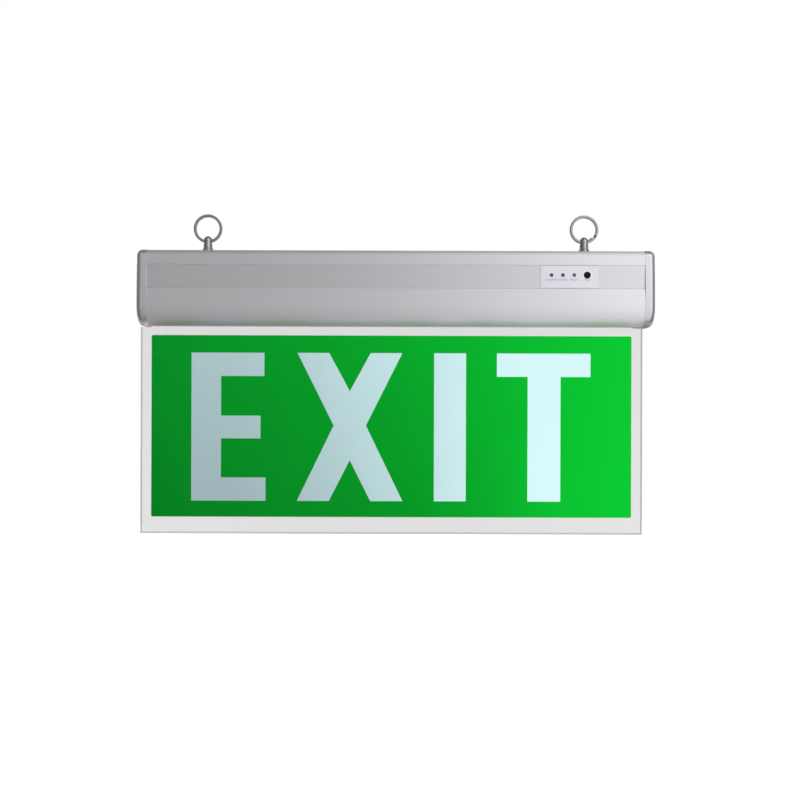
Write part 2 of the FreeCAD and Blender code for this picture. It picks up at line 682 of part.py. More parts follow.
def mains_terminal_block():
    """A moulded strip with a wire entry and a screw well for each pole."""
    half_width = TERMINAL_POLES * TERMINAL_POLE_PITCH / 2
    x = (terminal_x - TERMINAL_LENGTH / 2, terminal_x + TERMINAL_LENGTH / 2)
    top = tray_top + TERMINAL_HEIGHT
    body = block(x, (-half_width, half_width), (tray_top, top))
    cuts = []
    for y in terminal_pole_places():
        entry = V(x[0], y, tray_top + TERMINAL_ENTRY_HEIGHT)
        cuts.append(rod(TERMINAL_ENTRY_DIAMETER / 2, entry, X_AXIS, TERMINAL_LENGTH))
        well = V(terminal_x, y, top - TERMINAL_WELL_DEPTH)
        cuts.append(rod(TERMINAL_WELL_DIAMETER / 2, well, Z_AXIS, TERMINAL_WELL_DEPTH))
    return body.cut(Part.makeCompound(cuts))


def terminal_screws():
    """Slotted screws on the floors of the terminal wells."""
    radius = TERMINAL_SCREW_DIAMETER / 2
    floor = tray_top + TERMINAL_HEIGHT - TERMINAL_WELL_DEPTH
    top = floor + TERMINAL_SCREW_HEIGHT
    screws = []
    for y in terminal_pole_places():
        screw = rod(radius, V(terminal_x, y, floor), Z_AXIS, TERMINAL_SCREW_HEIGHT)
        across = (y - SCREW_SLOT_WIDTH / 2, y + SCREW_SLOT_WIDTH / 2)
        slot = block((terminal_x - radius, terminal_x + radius), across, (top - SCREW_SLOT_DEPTH, top))
        screws.append(screw.cut(slot))
    return screws


def battery_pack():
    """Three cells end to end in one shrink sleeve, which draws in at the joints and over the ends."""
    radius = CELL_DIAMETER / 2
    profile = [(0, 0), (radius - SLEEVE_SHOULDER, 0)]
    for n in range(CELL_COUNT):
        start = n * CELL_LENGTH
        end = start + CELL_LENGTH
        first, last = n == 0, n == CELL_COUNT - 1
        profile.append((radius, start + (SLEEVE_SHOULDER if first else SLEEVE_NIP)))
        profile.append((radius, end - (SLEEVE_SHOULDER if last else SLEEVE_NIP)))
        if not last:
            profile.append((radius - SLEEVE_NIP, end))
    length = CELL_COUNT * CELL_LENGTH
    profile += [(radius - SLEEVE_SHOULDER, length), (0, length)]
    return turned(profile, V(battery_x - length / 2, battery_y, battery_z), X_AXIS)


def battery_clips():
    """Spring-steel clips that grip the pack, one in the middle of each outer cell."""
    outer = CELL_DIAMETER / 2 + CLIP_THICKNESS
    reach = (CELL_COUNT - 1) * CELL_LENGTH / 2
    across = (battery_y - CLIP_MOUTH / 2, battery_y + CLIP_MOUTH / 2)
    clips = []
    for x in (battery_x - reach, battery_x + reach):
        start = V(x - CLIP_WIDTH / 2, battery_y, battery_z)
        span = (x - CLIP_WIDTH / 2, x + CLIP_WIDTH / 2)
        ring = rod(outer, start, X_AXIS, CLIP_WIDTH).cut(rod(CELL_DIAMETER / 2, start, X_AXIS, CLIP_WIDTH))
        clips.append(ring.cut(block(span, across, (battery_z, battery_z + outer))))
    return clips


def status_plate():
    """The thin plate that fills the label band, pierced for the lamps and the button."""
    x = (status_x - STATUS_PLATE_LENGTH / 2, status_x + STATUS_PLATE_LENGTH / 2)
    z = (band_bottom + BAND_DEPTH + STATUS_PLATE_MARGIN, band_top - BAND_DEPTH - STATUS_PLATE_MARGIN)
    plate = block(x, (-plate_front, -band_face), z)
    corners = [e for e in plate.Edges if e.BoundBox.YLength > STATUS_PLATE_THICKNESS / 2]
    plate = plate.makeFillet(STATUS_PLATE_CORNER, corners)
    front = V(0, -plate_front, -LAMP_DROP)
    holes = [rod(LAMP_WINDOW_DIAMETER / 2, front + V(place, 0, 0), Y_AXIS, STATUS_PLATE_THICKNESS)
             for place in lamp_places()]
    holes.append(rod(BUTTON_DIAMETER / 2 + BUTTON_CLEARANCE, front + V(button_x, 0, 0), Y_AXIS,
                     STATUS_PLATE_THICKNESS))
    return plate.cut(Part.makeCompound(holes))


def indicator_board():
    x = (status_x - INDICATOR_BOARD_LENGTH / 2, status_x + INDICATOR_BOARD_LENGTH / 2)
    z = (-LAMP_DROP - INDICATOR_BOARD_HEIGHT / 2, -LAMP_DROP + INDICATOR_BOARD_HEIGHT / 2)
    board = block(x, (-board_front, -board_front + BOARD_THICKNESS), z)
    radius = (STATUS_SCREW_DIAMETER + SCREW_CLEARANCE) / 2
    holes = [rod(radius, V(px, -board_front, pz), Y_AXIS, BOARD_THICKNESS)
             for px, pz in status_screw_places()]
    return board.cut(Part.makeCompound(holes))


def status_screw(place, grow=0.0):
    """A countersunk screw under the status plate; grow makes it the hole that it sits in."""
    radius = STATUS_SCREW_DIAMETER / 2 + grow
    head = STATUS_SCREW_HEAD / 2 + grow
    length = WALL + INDICATOR_STANDOFF + BOARD_THICKNESS + status_nut_height + THREAD_RUNOUT
    sink = head - radius
    profile = [(0, 0), (head, 0), (radius, -sink), (radius, -length), (0, -length)]
    return turned(profile, V(place[0], -band_face, place[1]), -Y_AXIS)


def indicator_board_screws():
    return [status_screw(place) for place in status_screw_places()]


def indicator_board_nuts():
    start = -board_front + BOARD_THICKNESS
    return [threaded_nut(2 * STATUS_SCREW_DIAMETER, status_nut_height, STATUS_SCREW_DIAMETER,
                         V(x, start, z), Y_AXIS) for x, z in status_screw_places()]


def indicator_board_spacers():
    """Tubes that hold the indicator board off the side wall."""
    spacers = []
    radius = (STATUS_SCREW_DIAMETER + SCREW_CLEARANCE) / 2
    for x, z in status_screw_places():
        start = V(x, -inner_face, z)
        tube = rod(STANDOFF_DIAMETER / 2, start, Y_AXIS, INDICATOR_STANDOFF)
        spacers.append(tube.cut(rod(radius, start, Y_AXIS, INDICATOR_STANDOFF)))
    return spacers


def lamp(x):
    """A round indicator lamp: domed lens, base flange and two legs down to the board."""
    radius = LAMP_DIAMETER / 2
    dome_start = plate_front - LAMP_SINK - radius
    base = plate_front - LAMP_BODY
    lens = rod(radius, V(x, -dome_start, -LAMP_DROP), Y_AXIS, dome_start - base)
    dome = Part.makeSphere(radius, V(x, -dome_start, -LAMP_DROP))
    flange = rod(radius + LAMP_FLANGE, V(x, -base - LAMP_FLANGE_THICKNESS, -LAMP_DROP), Y_AXIS,
                 LAMP_FLANGE_THICKNESS)
    legs = [rod(LAMP_LEG_DIAMETER / 2, V(x + side * LAMP_LEG_PITCH / 2, -base, -LAMP_DROP), Y_AXIS,
                base - board_front) for side in (-1, 1)]
    return joined([lens, dome, flange] + legs)


def test_switch():
    """The momentary switch on the indicator board, with the bore that takes the button's stem."""
    half = SWITCH_SIZE / 2
    body = block((button_x - half, button_x + half), (-board_front - SWITCH_HEIGHT, -board_front),
                 (-LAMP_DROP - half, -LAMP_DROP + half))
    start = V(button_x, -board_front - SWITCH_HEIGHT, -LAMP_DROP)
    return body.cut(rod(STEM_DIAMETER / 2 + STEM_CLEARANCE, start, Y_AXIS, SWITCH_HEIGHT - SWITCH_FLOOR))


def test_button():
    """The push button: a cap with a broken edge, a flange behind the wall and a stem into the switch."""
    radius = BUTTON_DIAMETER / 2
    flange = radius + BUTTON_FLANGE
    stem = STEM_DIAMETER / 2
    front = plate_front + BUTTON_STANDOUT
    flange_front = inner_face - BUTTON_WALL_GAP
    flange_back = flange_front - BUTTON_FLANGE_THICKNESS
    stem_end = board_front + SWITCH_FLOOR + BUTTON_TRAVEL + STEM_OVERTRAVEL
    profile = [(0, stem_end), (stem, stem_end), (stem, flange_back), (flange, flange_back),
               (flange, flange_front), (radius, flange_front), (radius, front - BUTTON_EDGE),
               (radius - BUTTON_EDGE, front), (0, front)]
    return turned(profile, V(button_x, 0, -LAMP_DROP), -Y_AXIS)


def ring_swing_radius(x):
    """How far the ring reaches from its swing axis at a distance x from its lowest point."""
    inner = ring_mean_radius - RING_WIRE_WIDTH / 2
    lift = ring_mean_radius - math.sqrt(inner ** 2 - x ** 2)
    return math.hypot(lift, ring_half_thickness)


def hanging_stud(x):
    """A turned stud with a domed head, a flared cross hole for the ring, a tapered collar and a thread."""
    radius = STUD_DIAMETER / 2
    dome_start = STUD_HEIGHT - radius
    thread = STUD_THREAD_DIAMETER / 2
    tail = WALL + WASHER_THICKNESS + NUT_HEIGHT + THREAD_RUNOUT
    outline = [V(0, 0, -tail), V(thread, 0, -tail), V(thread, 0, 0), V(COLLAR_DIAMETER / 2, 0, 0),
               V(COLLAR_DIAMETER / 2, 0, COLLAR_HEIGHT), V(radius, 0, COLLAR_HEIGHT + COLLAR_TAPER),
               V(radius, 0, dome_start)]
    edges = list(Part.makePolygon(outline).Edges)
    diagonal = radius * math.sqrt(0.5)
    crown = V(0, 0, STUD_HEIGHT)
    edges.append(Part.Arc(outline[-1], V(diagonal, 0, dome_start + diagonal), crown).toShape())
    edges.append(Part.LineSegment(crown, outline[0]).toShape())
    stud = Part.Face(Part.Wire(edges)).revolve(V(0, 0, 0), Z_AXIS, 360)
    waist = ring_swing_radius(0) + RING_EYE_CLEARANCE
    mouth = ring_swing_radius(radius) + RING_EYE_CLEARANCE
    flare = [(0, -radius), (mouth, -radius), (waist, -radius / 2), (waist, radius / 2),
             (mouth, radius), (0, radius)]
    stud = stud.cut(turned(flare, V(0, 0, STUD_EYE_HEIGHT), X_AXIS))
    stud.translate(V(x, 0, 0))
    return stud


def hanging_ring(x, jog_deg):
    """A split ring of two flat turns, side by side in depth, joined by a jog at jog_deg."""
    inner = ring_mean_radius - RING_WIRE_WIDTH / 2
    outer = ring_mean_radius + RING_WIRE_WIDTH / 2
    centre = V(x, 0, STUD_EYE_HEIGHT + ring_mean_radius)
    turn_deg = 360 - RING_JOG_DEG

    def section(degrees, front):
        a = math.radians(degrees)
        side = -1 if front else 1
        near, far = side * ring_half_thickness, side * RING_TURN_GAP / 2
        corners = [V(r * math.cos(a), y, r * math.sin(a))
                   for r, y in ((inner, near), (outer, near), (outer, far), (inner, far))]
        return Part.makePolygon(corners + corners[:1])
    turns = []
    for front in (True, False):
        start = Part.Face(section(jog_deg, front))
        turns.append(start.revolve(V(0, 0, 0), -Y_AXIS, turn_deg))
    jog = Part.makeLoft([section(jog_deg - RING_JOG_DEG, True), section(jog_deg, False)], True, True)
    ring = joined(turns + [jog])
    ring.translate(centre)
    return ring


def stud_washers():
    washers = []
    bore = (STUD_THREAD_DIAMETER + SCREW_CLEARANCE) / 2
    for x in stud_places():
        start = V(x, 0, -WALL - WASHER_THICKNESS)
        disc = rod(WASHER_DIAMETER / 2, start, Z_AXIS, WASHER_THICKNESS)
        washers.append(disc.cut(rod(bore, start, Z_AXIS, WASHER_THICKNESS)))
    return washers


def stud_nuts():
    bottom = -WALL - WASHER_THICKNESS - NUT_HEIGHT
    return [threaded_nut(NUT_ACROSS_FLATS, NUT_HEIGHT, STUD_THREAD_DIAMETER, V(x, 0, bottom), Z_AXIS)
            for x in stud_places()]


def cable_grommet():
    """A rubber grommet in the top wall, where the supply cable goes in."""
    bore = INLET_BORE / 2
    neck = bore + GROMMET_WALL
    lip = neck + GROMMET_FLANGE
    above = GROMMET_FLANGE_HEIGHT
    below = -WALL - GROMMET_FLANGE_HEIGHT
    profile = [(bore, below), (lip, below), (lip, -WALL), (neck, -WALL), (neck, 0), (lip, 0),
               (lip, above / 2), (lip - above / 2, above), (bore, above)]
    return turned(profile, V(inlet_x, 0, 0))


def lead(points):
    """An insulated lead along straight runs joined by tangent arcs as large as the runs allow."""
    edges = []
    last = points[0]
    for before, corner, after in zip(points, points[1:], points[2:]):
        back, ahead = before - corner, after - corner
        turn = math.pi - back.getAngle(ahead)
        trim = 0.45 * min(back.Length, ahead.Length)
        entry = corner + back * (trim / back.Length)
        leave = corner + ahead * (trim / ahead.Length)
        radius = trim / math.tan(turn / 2)
        inward = (back * (1 / back.Length) + ahead * (1 / ahead.Length)).normalize()
        middle = corner + inward * (math.hypot(radius, trim) - radius)
        edges.append(Part.LineSegment(last, entry).toShape())
        edges.append(Part.Arc(entry, middle, leave).toShape())
        last = leave
    edges.append(Part.LineSegment(last, points[-1]).toShape())
    start_way = points[1] - points[0]
    ring = Part.Wire(Part.makeCircle(LEAD_DIAMETER / 2, points[0], start_way))
    return Part.Wire(edges).makePipeShell([ring], True, False)


def header_top(number):
    x, y = header_places()[number]
    return V(x, y, driver_top + HEADER_HEIGHT)


def battery_lead():
    """From the driver's rear header to the near end of the pack."""
    start = header_top(0)
    pack_end = V(battery_x - CELL_COUNT * CELL_LENGTH / 2, battery_y, battery_z)
    return lead([start, start + V(0, 0, LEAD_RISE),
                 V((start.x + pack_end.x) / 2, start.y, start.z + LEAD_RISE),
                 pack_end + V(-LEAD_RISE, 0, 0), pack_end])


def indicator_lead():
    """From the driver's front header along the housing to the indicator board's near end."""
    start = header_top(2)
    end = V(status_x - INDICATOR_BOARD_LENGTH / 2, BOARD_THICKNESS / 2 - board_front, -LAMP_DROP)
    middle = V((start.x + end.x) / 2, end.y, start.z + LEAD_RISE)
    return lead([start, start + V(0, 0, LEAD_RISE), start + V(2 * LEAD_RISE, 0, LEAD_RISE), middle,
                 end + V(-2 * LEAD_RISE, 0, 0), end])


def lamp_lead_x():
    """Where the light bar's lead goes down through the tray, between the driver and the battery."""
    return driver_end + LEAD_HOLE_DIAMETER


def light_bar_lead():
    """From the driver's middle header down through the tray and the channel to the LED board."""
    start = header_top(1)
    down = lamp_lead_x()
    return lead([start, start + V(0, 0, LEAD_RISE),
                 V(down, 0, start.z + LEAD_RISE), V(down, 0, led_board_top)])


def mains_leads():
    """Live and neutral from the terminal strip to the driver board."""
    x = DRIVER_X - DRIVER_LENGTH / 2
    z = tray_top + TERMINAL_ENTRY_HEIGHT - (TERMINAL_ENTRY_DIAMETER - LEAD_DIAMETER) / 2
    third = (x - terminal_x) / 3
    lift = driver_bottom + BOARD_THICKNESS / 2 - z
    return [lead([V(terminal_x, y, z), V(terminal_x + third, y, z),
                  V(terminal_x + 2 * third, y, z + lift), V(x, y, z + lift)])
            for y in (-TERMINAL_POLE_PITCH, TERMINAL_POLE_PITCH)]


PARTS = {
    "housing_extrusion": housing_extrusion,
    "end_cap_left": lambda: end_cap(-1),
    "end_cap_right": lambda: end_cap(1),
    "end_cap_screws_left": lambda: end_cap_screws(-1),
    "end_cap_screws_right": lambda: end_cap_screws(1),
    "front_sign_sheet": lambda: sign_sheet(-1),
    "back_sign_sheet": lambda: sign_sheet(1),
    "front_legend_film": lambda: legend_film(-1),
    "back_legend_film": lambda: legend_film(1),
    "light_guide": light_guide,
    "edge_reflector": edge_reflector,
    "light_bar_channel": light_bar_channel,
    "led_strip_board": led_strip_board,
    "led_emitters": led_emitters,
    "panel_clamp_screws": panel_clamp_screws,
    "panel_clamp_nuts": panel_clamp_nuts,
    "gear_tray": gear_tray,
    "driver_insulator": driver_insulator,
    "driver_board": driver_board,
    "driver_standoffs": driver_standoffs,
    "driver_transformer": driver_transformer,
    "driver_capacitors": driver_capacitors,
    "driver_fuse": driver_fuse,
    "driver_headers": driver_headers,
    "mains_terminal_block": mains_terminal_block,
    "terminal_screws": terminal_screws,
    "mains_leads": mains_leads,
    "battery_pack": battery_pack,
    "battery_clips": battery_clips,
    "battery_lead": battery_lead,
    "indicator_board": indicator_board,
    "indicator_board_spacers": indicator_board_spacers,
    "indicator_board_screws": indicator_board_screws,
    "indicator_board_nuts": indicator_board_nuts,
    "indicator_lead": indicator_lead,
    "light_bar_lead": light_bar_lead,
    "charge_lamp": lambda: lamp(lamp_places()[0]),
    "mains_lamp": lambda: lamp(lamp_places()[1]),
    "fault_lamp": lambda: lamp(lamp_places()[2]),
    "test_switch": test_switch,
    "test_button": test_button,
    "status_plate": status_plate,
    "hanging_stud_left": lambda: hanging_stud(stud_places()[0]),
    "hanging_stud_right": lambda: hanging_stud(stud_places()[1]),
    "hanging_ring_left": lambda: hanging_ring(stud_places()[0], 205.0),
    "hanging_ring_right": lambda: hanging_ring(stud_places()[1], -28.0),
    "stud_washers": stud_washers,
    "stud_nuts": stud_nuts,
    "cable_grommet": cable_grommet,
}


def main():
    os.makedirs("parts", exist_ok=True)
    for name, make in PARTS.items():
        made = make()
        shape = Part.makeCompound(made) if isinstance(made, list) else made
        volume = sum(solid.Volume for solid in shape.Solids)
        print(f"{name:26s} {len(shape.Solids):3d} solid(s) {volume:12.1f} mm3 valid {shape.isValid()}")
        shape.exportStep(os.path.join("parts", name + ".step"))


main()
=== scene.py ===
"""Looks of a ceiling-hung emergency exit light: finishes for its pieces, the sign's letters, the plate's
marks, the split rings, and a plain studio. Lengths in the code are metres; the MM factor turns millimetres
to metres."""

import json
import math

import bpy
import numpy as np
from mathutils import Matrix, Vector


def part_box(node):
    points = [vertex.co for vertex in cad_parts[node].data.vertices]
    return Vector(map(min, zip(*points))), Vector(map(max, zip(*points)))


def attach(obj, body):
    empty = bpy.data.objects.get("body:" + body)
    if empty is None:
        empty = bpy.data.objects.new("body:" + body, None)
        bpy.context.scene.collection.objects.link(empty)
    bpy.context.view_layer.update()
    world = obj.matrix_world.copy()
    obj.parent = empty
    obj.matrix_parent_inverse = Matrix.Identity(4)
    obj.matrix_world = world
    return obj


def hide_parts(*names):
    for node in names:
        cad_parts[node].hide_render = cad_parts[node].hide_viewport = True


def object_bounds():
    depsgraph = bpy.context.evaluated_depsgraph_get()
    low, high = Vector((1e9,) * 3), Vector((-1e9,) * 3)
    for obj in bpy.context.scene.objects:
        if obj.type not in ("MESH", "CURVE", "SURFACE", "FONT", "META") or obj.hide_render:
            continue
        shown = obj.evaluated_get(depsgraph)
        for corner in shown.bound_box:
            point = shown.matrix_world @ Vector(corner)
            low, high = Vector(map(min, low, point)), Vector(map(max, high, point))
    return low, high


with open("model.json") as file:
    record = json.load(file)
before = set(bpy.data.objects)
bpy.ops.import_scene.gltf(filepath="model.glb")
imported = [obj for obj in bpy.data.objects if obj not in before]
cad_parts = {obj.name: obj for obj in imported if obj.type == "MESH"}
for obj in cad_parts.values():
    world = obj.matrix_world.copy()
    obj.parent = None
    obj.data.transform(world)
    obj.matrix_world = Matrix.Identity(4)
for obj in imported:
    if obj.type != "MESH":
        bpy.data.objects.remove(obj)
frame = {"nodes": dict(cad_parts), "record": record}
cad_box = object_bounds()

bl_info = {
    "name": "Exit light looks",
    "version": (1, 0, 0),
    "blender": (4, 5, 0),
    "location": "3D View > Sidebar > Exit light",
    "description": "Finishes, letters, marks and rings of a hanging exit light, with its studio",
    "category": "Object",
}

MM = 0.001


# ---------------------------------------------------------------- properties

def linear(hex_colour):
    """An sRGB hex colour as linear red, green, blue and alpha."""
    parts = [int(hex_colour[i:i + 2], 16) / 255 for i in (1, 3, 5)]
    return tuple(c / 12.92 if c <= 0.04045 else ((c + 0.055) / 1.055) ** 2.4 for c in parts) + (1.0,)


def length(name, description, millimetres):
    """A length property whose default is given in millimetres."""
    return bpy.props.FloatProperty(name=name, description=description, default=millimetres * MM,
                                   unit="LENGTH", precision=5)


def colour(name, description, hex_colour):
    """A colour property whose default is given as an sRGB hex value."""
    return bpy.props.FloatVectorProperty(name=name, description=description, size=4, subtype="COLOR",
                                         min=0.0, max=1.0, default=linear(hex_colour))


class ExitLightSizes(bpy.types.PropertyGroup):
    """Sizes of the pieces made here"""
    letter_height: length("Letter height", "Height of the sign's letters", 105.4)
    letter_drop: length("Letter drop", "From the green field's upper edge to the letters", 12.4)
    letter_thickness: length("Letter thickness", "How thick the letters are", 0.12)
    film_gap: length("Film gap", "How far the letters lie off the green film", 0.02)
    bar_width: length("Bar width", "Height of the letters' level strokes", 16.6)
    word_height: length("Word height", "Type size of the words on the indicator plate", 2.2)
    word_drop: length("Word drop", "From a lamp's axis down to the foot of its word", 4.0)
    print_thickness: length("Print thickness", "How thick the plate's print is", 0.02)
    halo_bore: length("Halo bore", "Bore of the pale ring round the test button", 5.0)
    halo_width: length("Halo width", "Width of the pale ring round the test button", 1.0)
    wire_width: length("Ring wire width", "Width of the split rings' wire across the ring", 2.0)
    wire_thickness: length("Ring wire thickness", "Thickness of one turn of the split rings", 1.0)


class ExitLightColours(bpy.types.PropertyGroup):
    """Colours of the surfaces that show"""
    housing: colour("Housing", "Anodised aluminium", "#F2F2F6")
    # painted shade: a darker, less green colour for the housing's foot beside the slot, standing in for its
    # shade and dim reflection
    painted_foot_shade: colour("Housing foot", "The housing beside the panel's slot", "#E0D4DF")
    end_cap: colour("End caps", "Silver paint", "#D6D6D9")
    sheet: colour("Sign sheet", "Opal acrylic", "#DEDEDE")
    # painted light: a dim and a lit copy of the film's colour and of the letters' colour
    film_painted_dim: colour("Film, dim end", "Green film at the end away from the light", "#038A23")
    film_painted_lit: colour("Film, bright end", "Green film at the bright end", "#06C831")
    letter_painted_dim: colour("Letters, dim end", "Sign letters at the end away from the light", "#AAC4C8")
    letter_painted_lit: colour("Letters, bright end", "Sign letters at the bright end", "#D6F8FB")
    plate: colour("Indicator plate", "Silver-printed plate", "#E8E8F1")
    words: colour("Words", "Grey print on the indicator plate", "#96969E")
    nickel: colour("Nickel", "Studs and rings", "#BCBBB7")


# ---------------------------------------------------------------- materials

def add_node(tree, kind, inputs=None, **settings):
    """Adds one node, sets its properties, and fills its sockets with values or links."""
    node = tree.nodes.new(kind)
    for name, value in settings.items():
        setattr(node, name, value)
    for name, value in (inputs or {}).items():
        if isinstance(value, bpy.types.NodeSocket):
            tree.links.new(value, node.inputs[name])
        else:
            node.inputs[name].default_value = value
    return node


def new_finish(name, base, roughness, **sockets):
    """A material with one Principled shader. Returns the material, its tree and the shader."""
    material = bpy.data.materials.new(name)
    material.use_nodes = True
    tree = material.node_tree
    shader = tree.nodes["Principled BSDF"]
    shader.inputs["Base Color"].default_value = tuple(base)
    shader.inputs["Roughness"].default_value = roughness
    for socket, value in sockets.items():
        shader.inputs[socket.replace("_", " ")].default_value = value
    return material, tree, shader


def pattern(tree, size, stretch=(1.0, 1.0, 1.0), kind="ShaderNodeTexNoise", **settings):
    """A texture on Object coordinates whose features are size metres across, drawn out by stretch."""
    place = add_node(tree, "ShaderNodeTexCoord")
    scale = tuple(1.0 / (size * s) for s in stretch)
    mapping = add_node(tree, "ShaderNodeMapping", {"Vector": place.outputs["Object"], "Scale": scale})
    return add_node(tree, kind, {"Vector": mapping.outputs["Vector"], "Scale": 1.0}, **settings)


def drive(tree, shader, factor, shades=None, roughness=None, relief=0.0):
    """Lets one pattern drive a finish: two shades, a span of roughness, and a relief in metres."""
    if shades:
        ramp = add_node(tree, "ShaderNodeMix", {"Factor": factor}, data_type="RGBA")
        ramp.inputs["A"].default_value, ramp.inputs["B"].default_value = [tuple(c) for c in shades]
        tree.links.new(ramp.outputs["Result"], shader.inputs["Base Color"])
    if roughness:
        span = add_node(tree, "ShaderNodeMapRange", {"Value": factor, "To Min": roughness[0],
                                                     "To Max": roughness[1]})
        tree.links.new(span.outputs["Result"], shader.inputs["Roughness"])
    if relief:
        bump = add_node(tree, "ShaderNodeBump", {"Height": factor, "Distance": relief})
        tree.links.new(bump.outputs["Normal"], shader.inputs["Normal"])


def shaded(base, factor):
    """The same colour, darker or lighter by a factor."""
    return tuple(min(c * factor, 1.0) for c in tuple(base)[:3]) + (1.0,)


def draw_curve(node, knots):
    """Draws a curve node's line through (place, level) knots, whose places go from 0 to 1."""
    curve = node.mapping.curves[0]
    curve.points[0].location = knots[0]
    curve.points[1].location = knots[-1]
    for place, level in knots[1:-1]:
        curve.points.new(place, level)
    node.mapping.update()


def anodised_aluminium(colours):
    """Extruded, etched and clear-anodised aluminium: a satin metal with faint die lines along its length,
    which spread its reflections up and down. The label band, as high as the indicator plate and a margin, has
    painted shade: its colour is a little darker, as the recess looks in its light. The foot beside the slot
    has painted shade too: it fades to a darker, less green colour."""
    material, tree, shader = new_finish("anodised_aluminium", colours.housing, 0.5, Metallic=1.0)
    shader.inputs["Anisotropic"].default_value = 0.8
    shader.inputs["Anisotropic Rotation"].default_value = 0.25
    shader.inputs["Specular Tint"].default_value = linear("#C8BCC6")
    grain = add_node(tree, "ShaderNodeCombineXYZ", {"X": 1.0})
    tree.links.new(grain.outputs["Vector"], shader.inputs["Tangent"])
    lines = pattern(tree, 0.45 * MM, stretch=(400.0, 1.0, 1.0))
    drive(tree, shader, lines.outputs["Fac"], roughness=(0.47, 0.53), relief=0.002 * MM)
    low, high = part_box("status_plate")
    # painted shade: the label band's colour is darkened to copy the recess's shade
    margin, band_shade = 0.4 * MM, 0.93
    place = add_node(tree, "ShaderNodeTexCoord")
    axes = add_node(tree, "ShaderNodeSeparateXYZ", {"Vector": place.outputs["Object"]})
    in_shaded_band = add_node(tree, "ShaderNodeMath", {0: axes.outputs["Z"], 1: (low.z + high.z) / 2,
                                                2: (high.z - low.z) / 2 + margin}, operation="COMPARE")
    painted_band_shade = add_node(tree, "ShaderNodeMix", {"Factor": in_shaded_band.outputs["Value"]}, data_type="RGBA")
    painted_band_shade.inputs["A"].default_value = tuple(colours.housing)
    painted_band_shade.inputs["B"].default_value = shaded(colours.housing, band_shade)
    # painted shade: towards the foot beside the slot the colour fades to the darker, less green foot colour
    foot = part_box("housing_extrusion")[0].z
    fade_from, fade_to = foot + 4.0 * MM, foot + 1.0 * MM
    foot_shade_mask = add_node(tree, "ShaderNodeMapRange", {"Value": axes.outputs["Z"], "From Min": fade_from,
                                                      "From Max": fade_to})
    with_foot_shade = add_node(tree, "ShaderNodeMix", {"Factor": foot_shade_mask.outputs["Result"],
                                            "A": painted_band_shade.outputs["Result"]}, data_type="RGBA")
    with_foot_shade.inputs["B"].default_value = tuple(colours.painted_foot_shade)
    tree.links.new(with_foot_shade.outputs["Result"], shader.inputs["Base Color"])
    return material


def silver_paint(colours):
    """Silver paint on moulded ABS: fine flakes under a clear coat, so its rounded edges turn dark quickly."""
    material, tree, shader = new_finish("silver_painted_abs", colours.end_cap, 0.3, Metallic=0.9)
    flakes = pattern(tree, 0.35 * MM)
    shades = (shaded(colours.end_cap, 0.92), shaded(colours.end_cap, 1.03))
    drive(tree, shader, flakes.outputs["Fac"], shades, (0.27, 0.33), 0.004 * MM)
    return material


def opal_acrylic(colours):
    """Cast opal acrylic, saw cut and polished: white all through, with a smooth even gloss. Its rim beside
    the cut edges has painted shade: a greyer colour in place of the dark that the bevelled edges reflect."""
    material, tree, shader = new_finish("opal_acrylic", colours.sheet, 0.22, IOR=1.49)
    cloud = pattern(tree, 40.0 * MM)
    drive(tree, shader, cloud.outputs["Fac"], None, (0.20, 0.25))
    low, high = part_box("front_sign_sheet")
    # painted shade: the rim beside the cut edges takes a greyer copy of the sheet's colour
    rim, painted_rim_shade = 1.6 * MM, 0.86
    place = add_node(tree, "ShaderNodeTexCoord")
    axes = add_node(tree, "ShaderNodeSeparateXYZ", {"Vector": place.outputs["Object"]})
    between = add_node(tree, "ShaderNodeMath", {0: axes.outputs["X"], 1: (low.x + high.x) / 2,
                                                2: (high.x - low.x) / 2 - rim}, operation="COMPARE")
    above = add_node(tree, "ShaderNodeMath", {0: axes.outputs["Z"], 1: low.z + rim},
                     operation="GREATER_THAN")
    inside = add_node(tree, "ShaderNodeMath", {0: between.outputs["Value"], 1: above.outputs["Value"]},
                      operation="MULTIPLY")
    body = add_node(tree, "ShaderNodeMix", {"Factor": cloud.outputs["Fac"]}, data_type="RGBA")
    body.inputs["A"].default_value = shaded(colours.sheet, 0.985)
    body.inputs["B"].default_value = shaded(colours.sheet, 1.015)
    with_painted_rim = add_node(tree, "ShaderNodeMix", {"Factor": inside.outputs["Value"],
                                             "B": body.outputs["Result"]}, data_type="RGBA")
    with_painted_rim.inputs["A"].default_value = shaded(colours.sheet, painted_rim_shade)
    tree.links.new(with_painted_rim.outputs["Result"], shader.inputs["Base Color"])
    return material


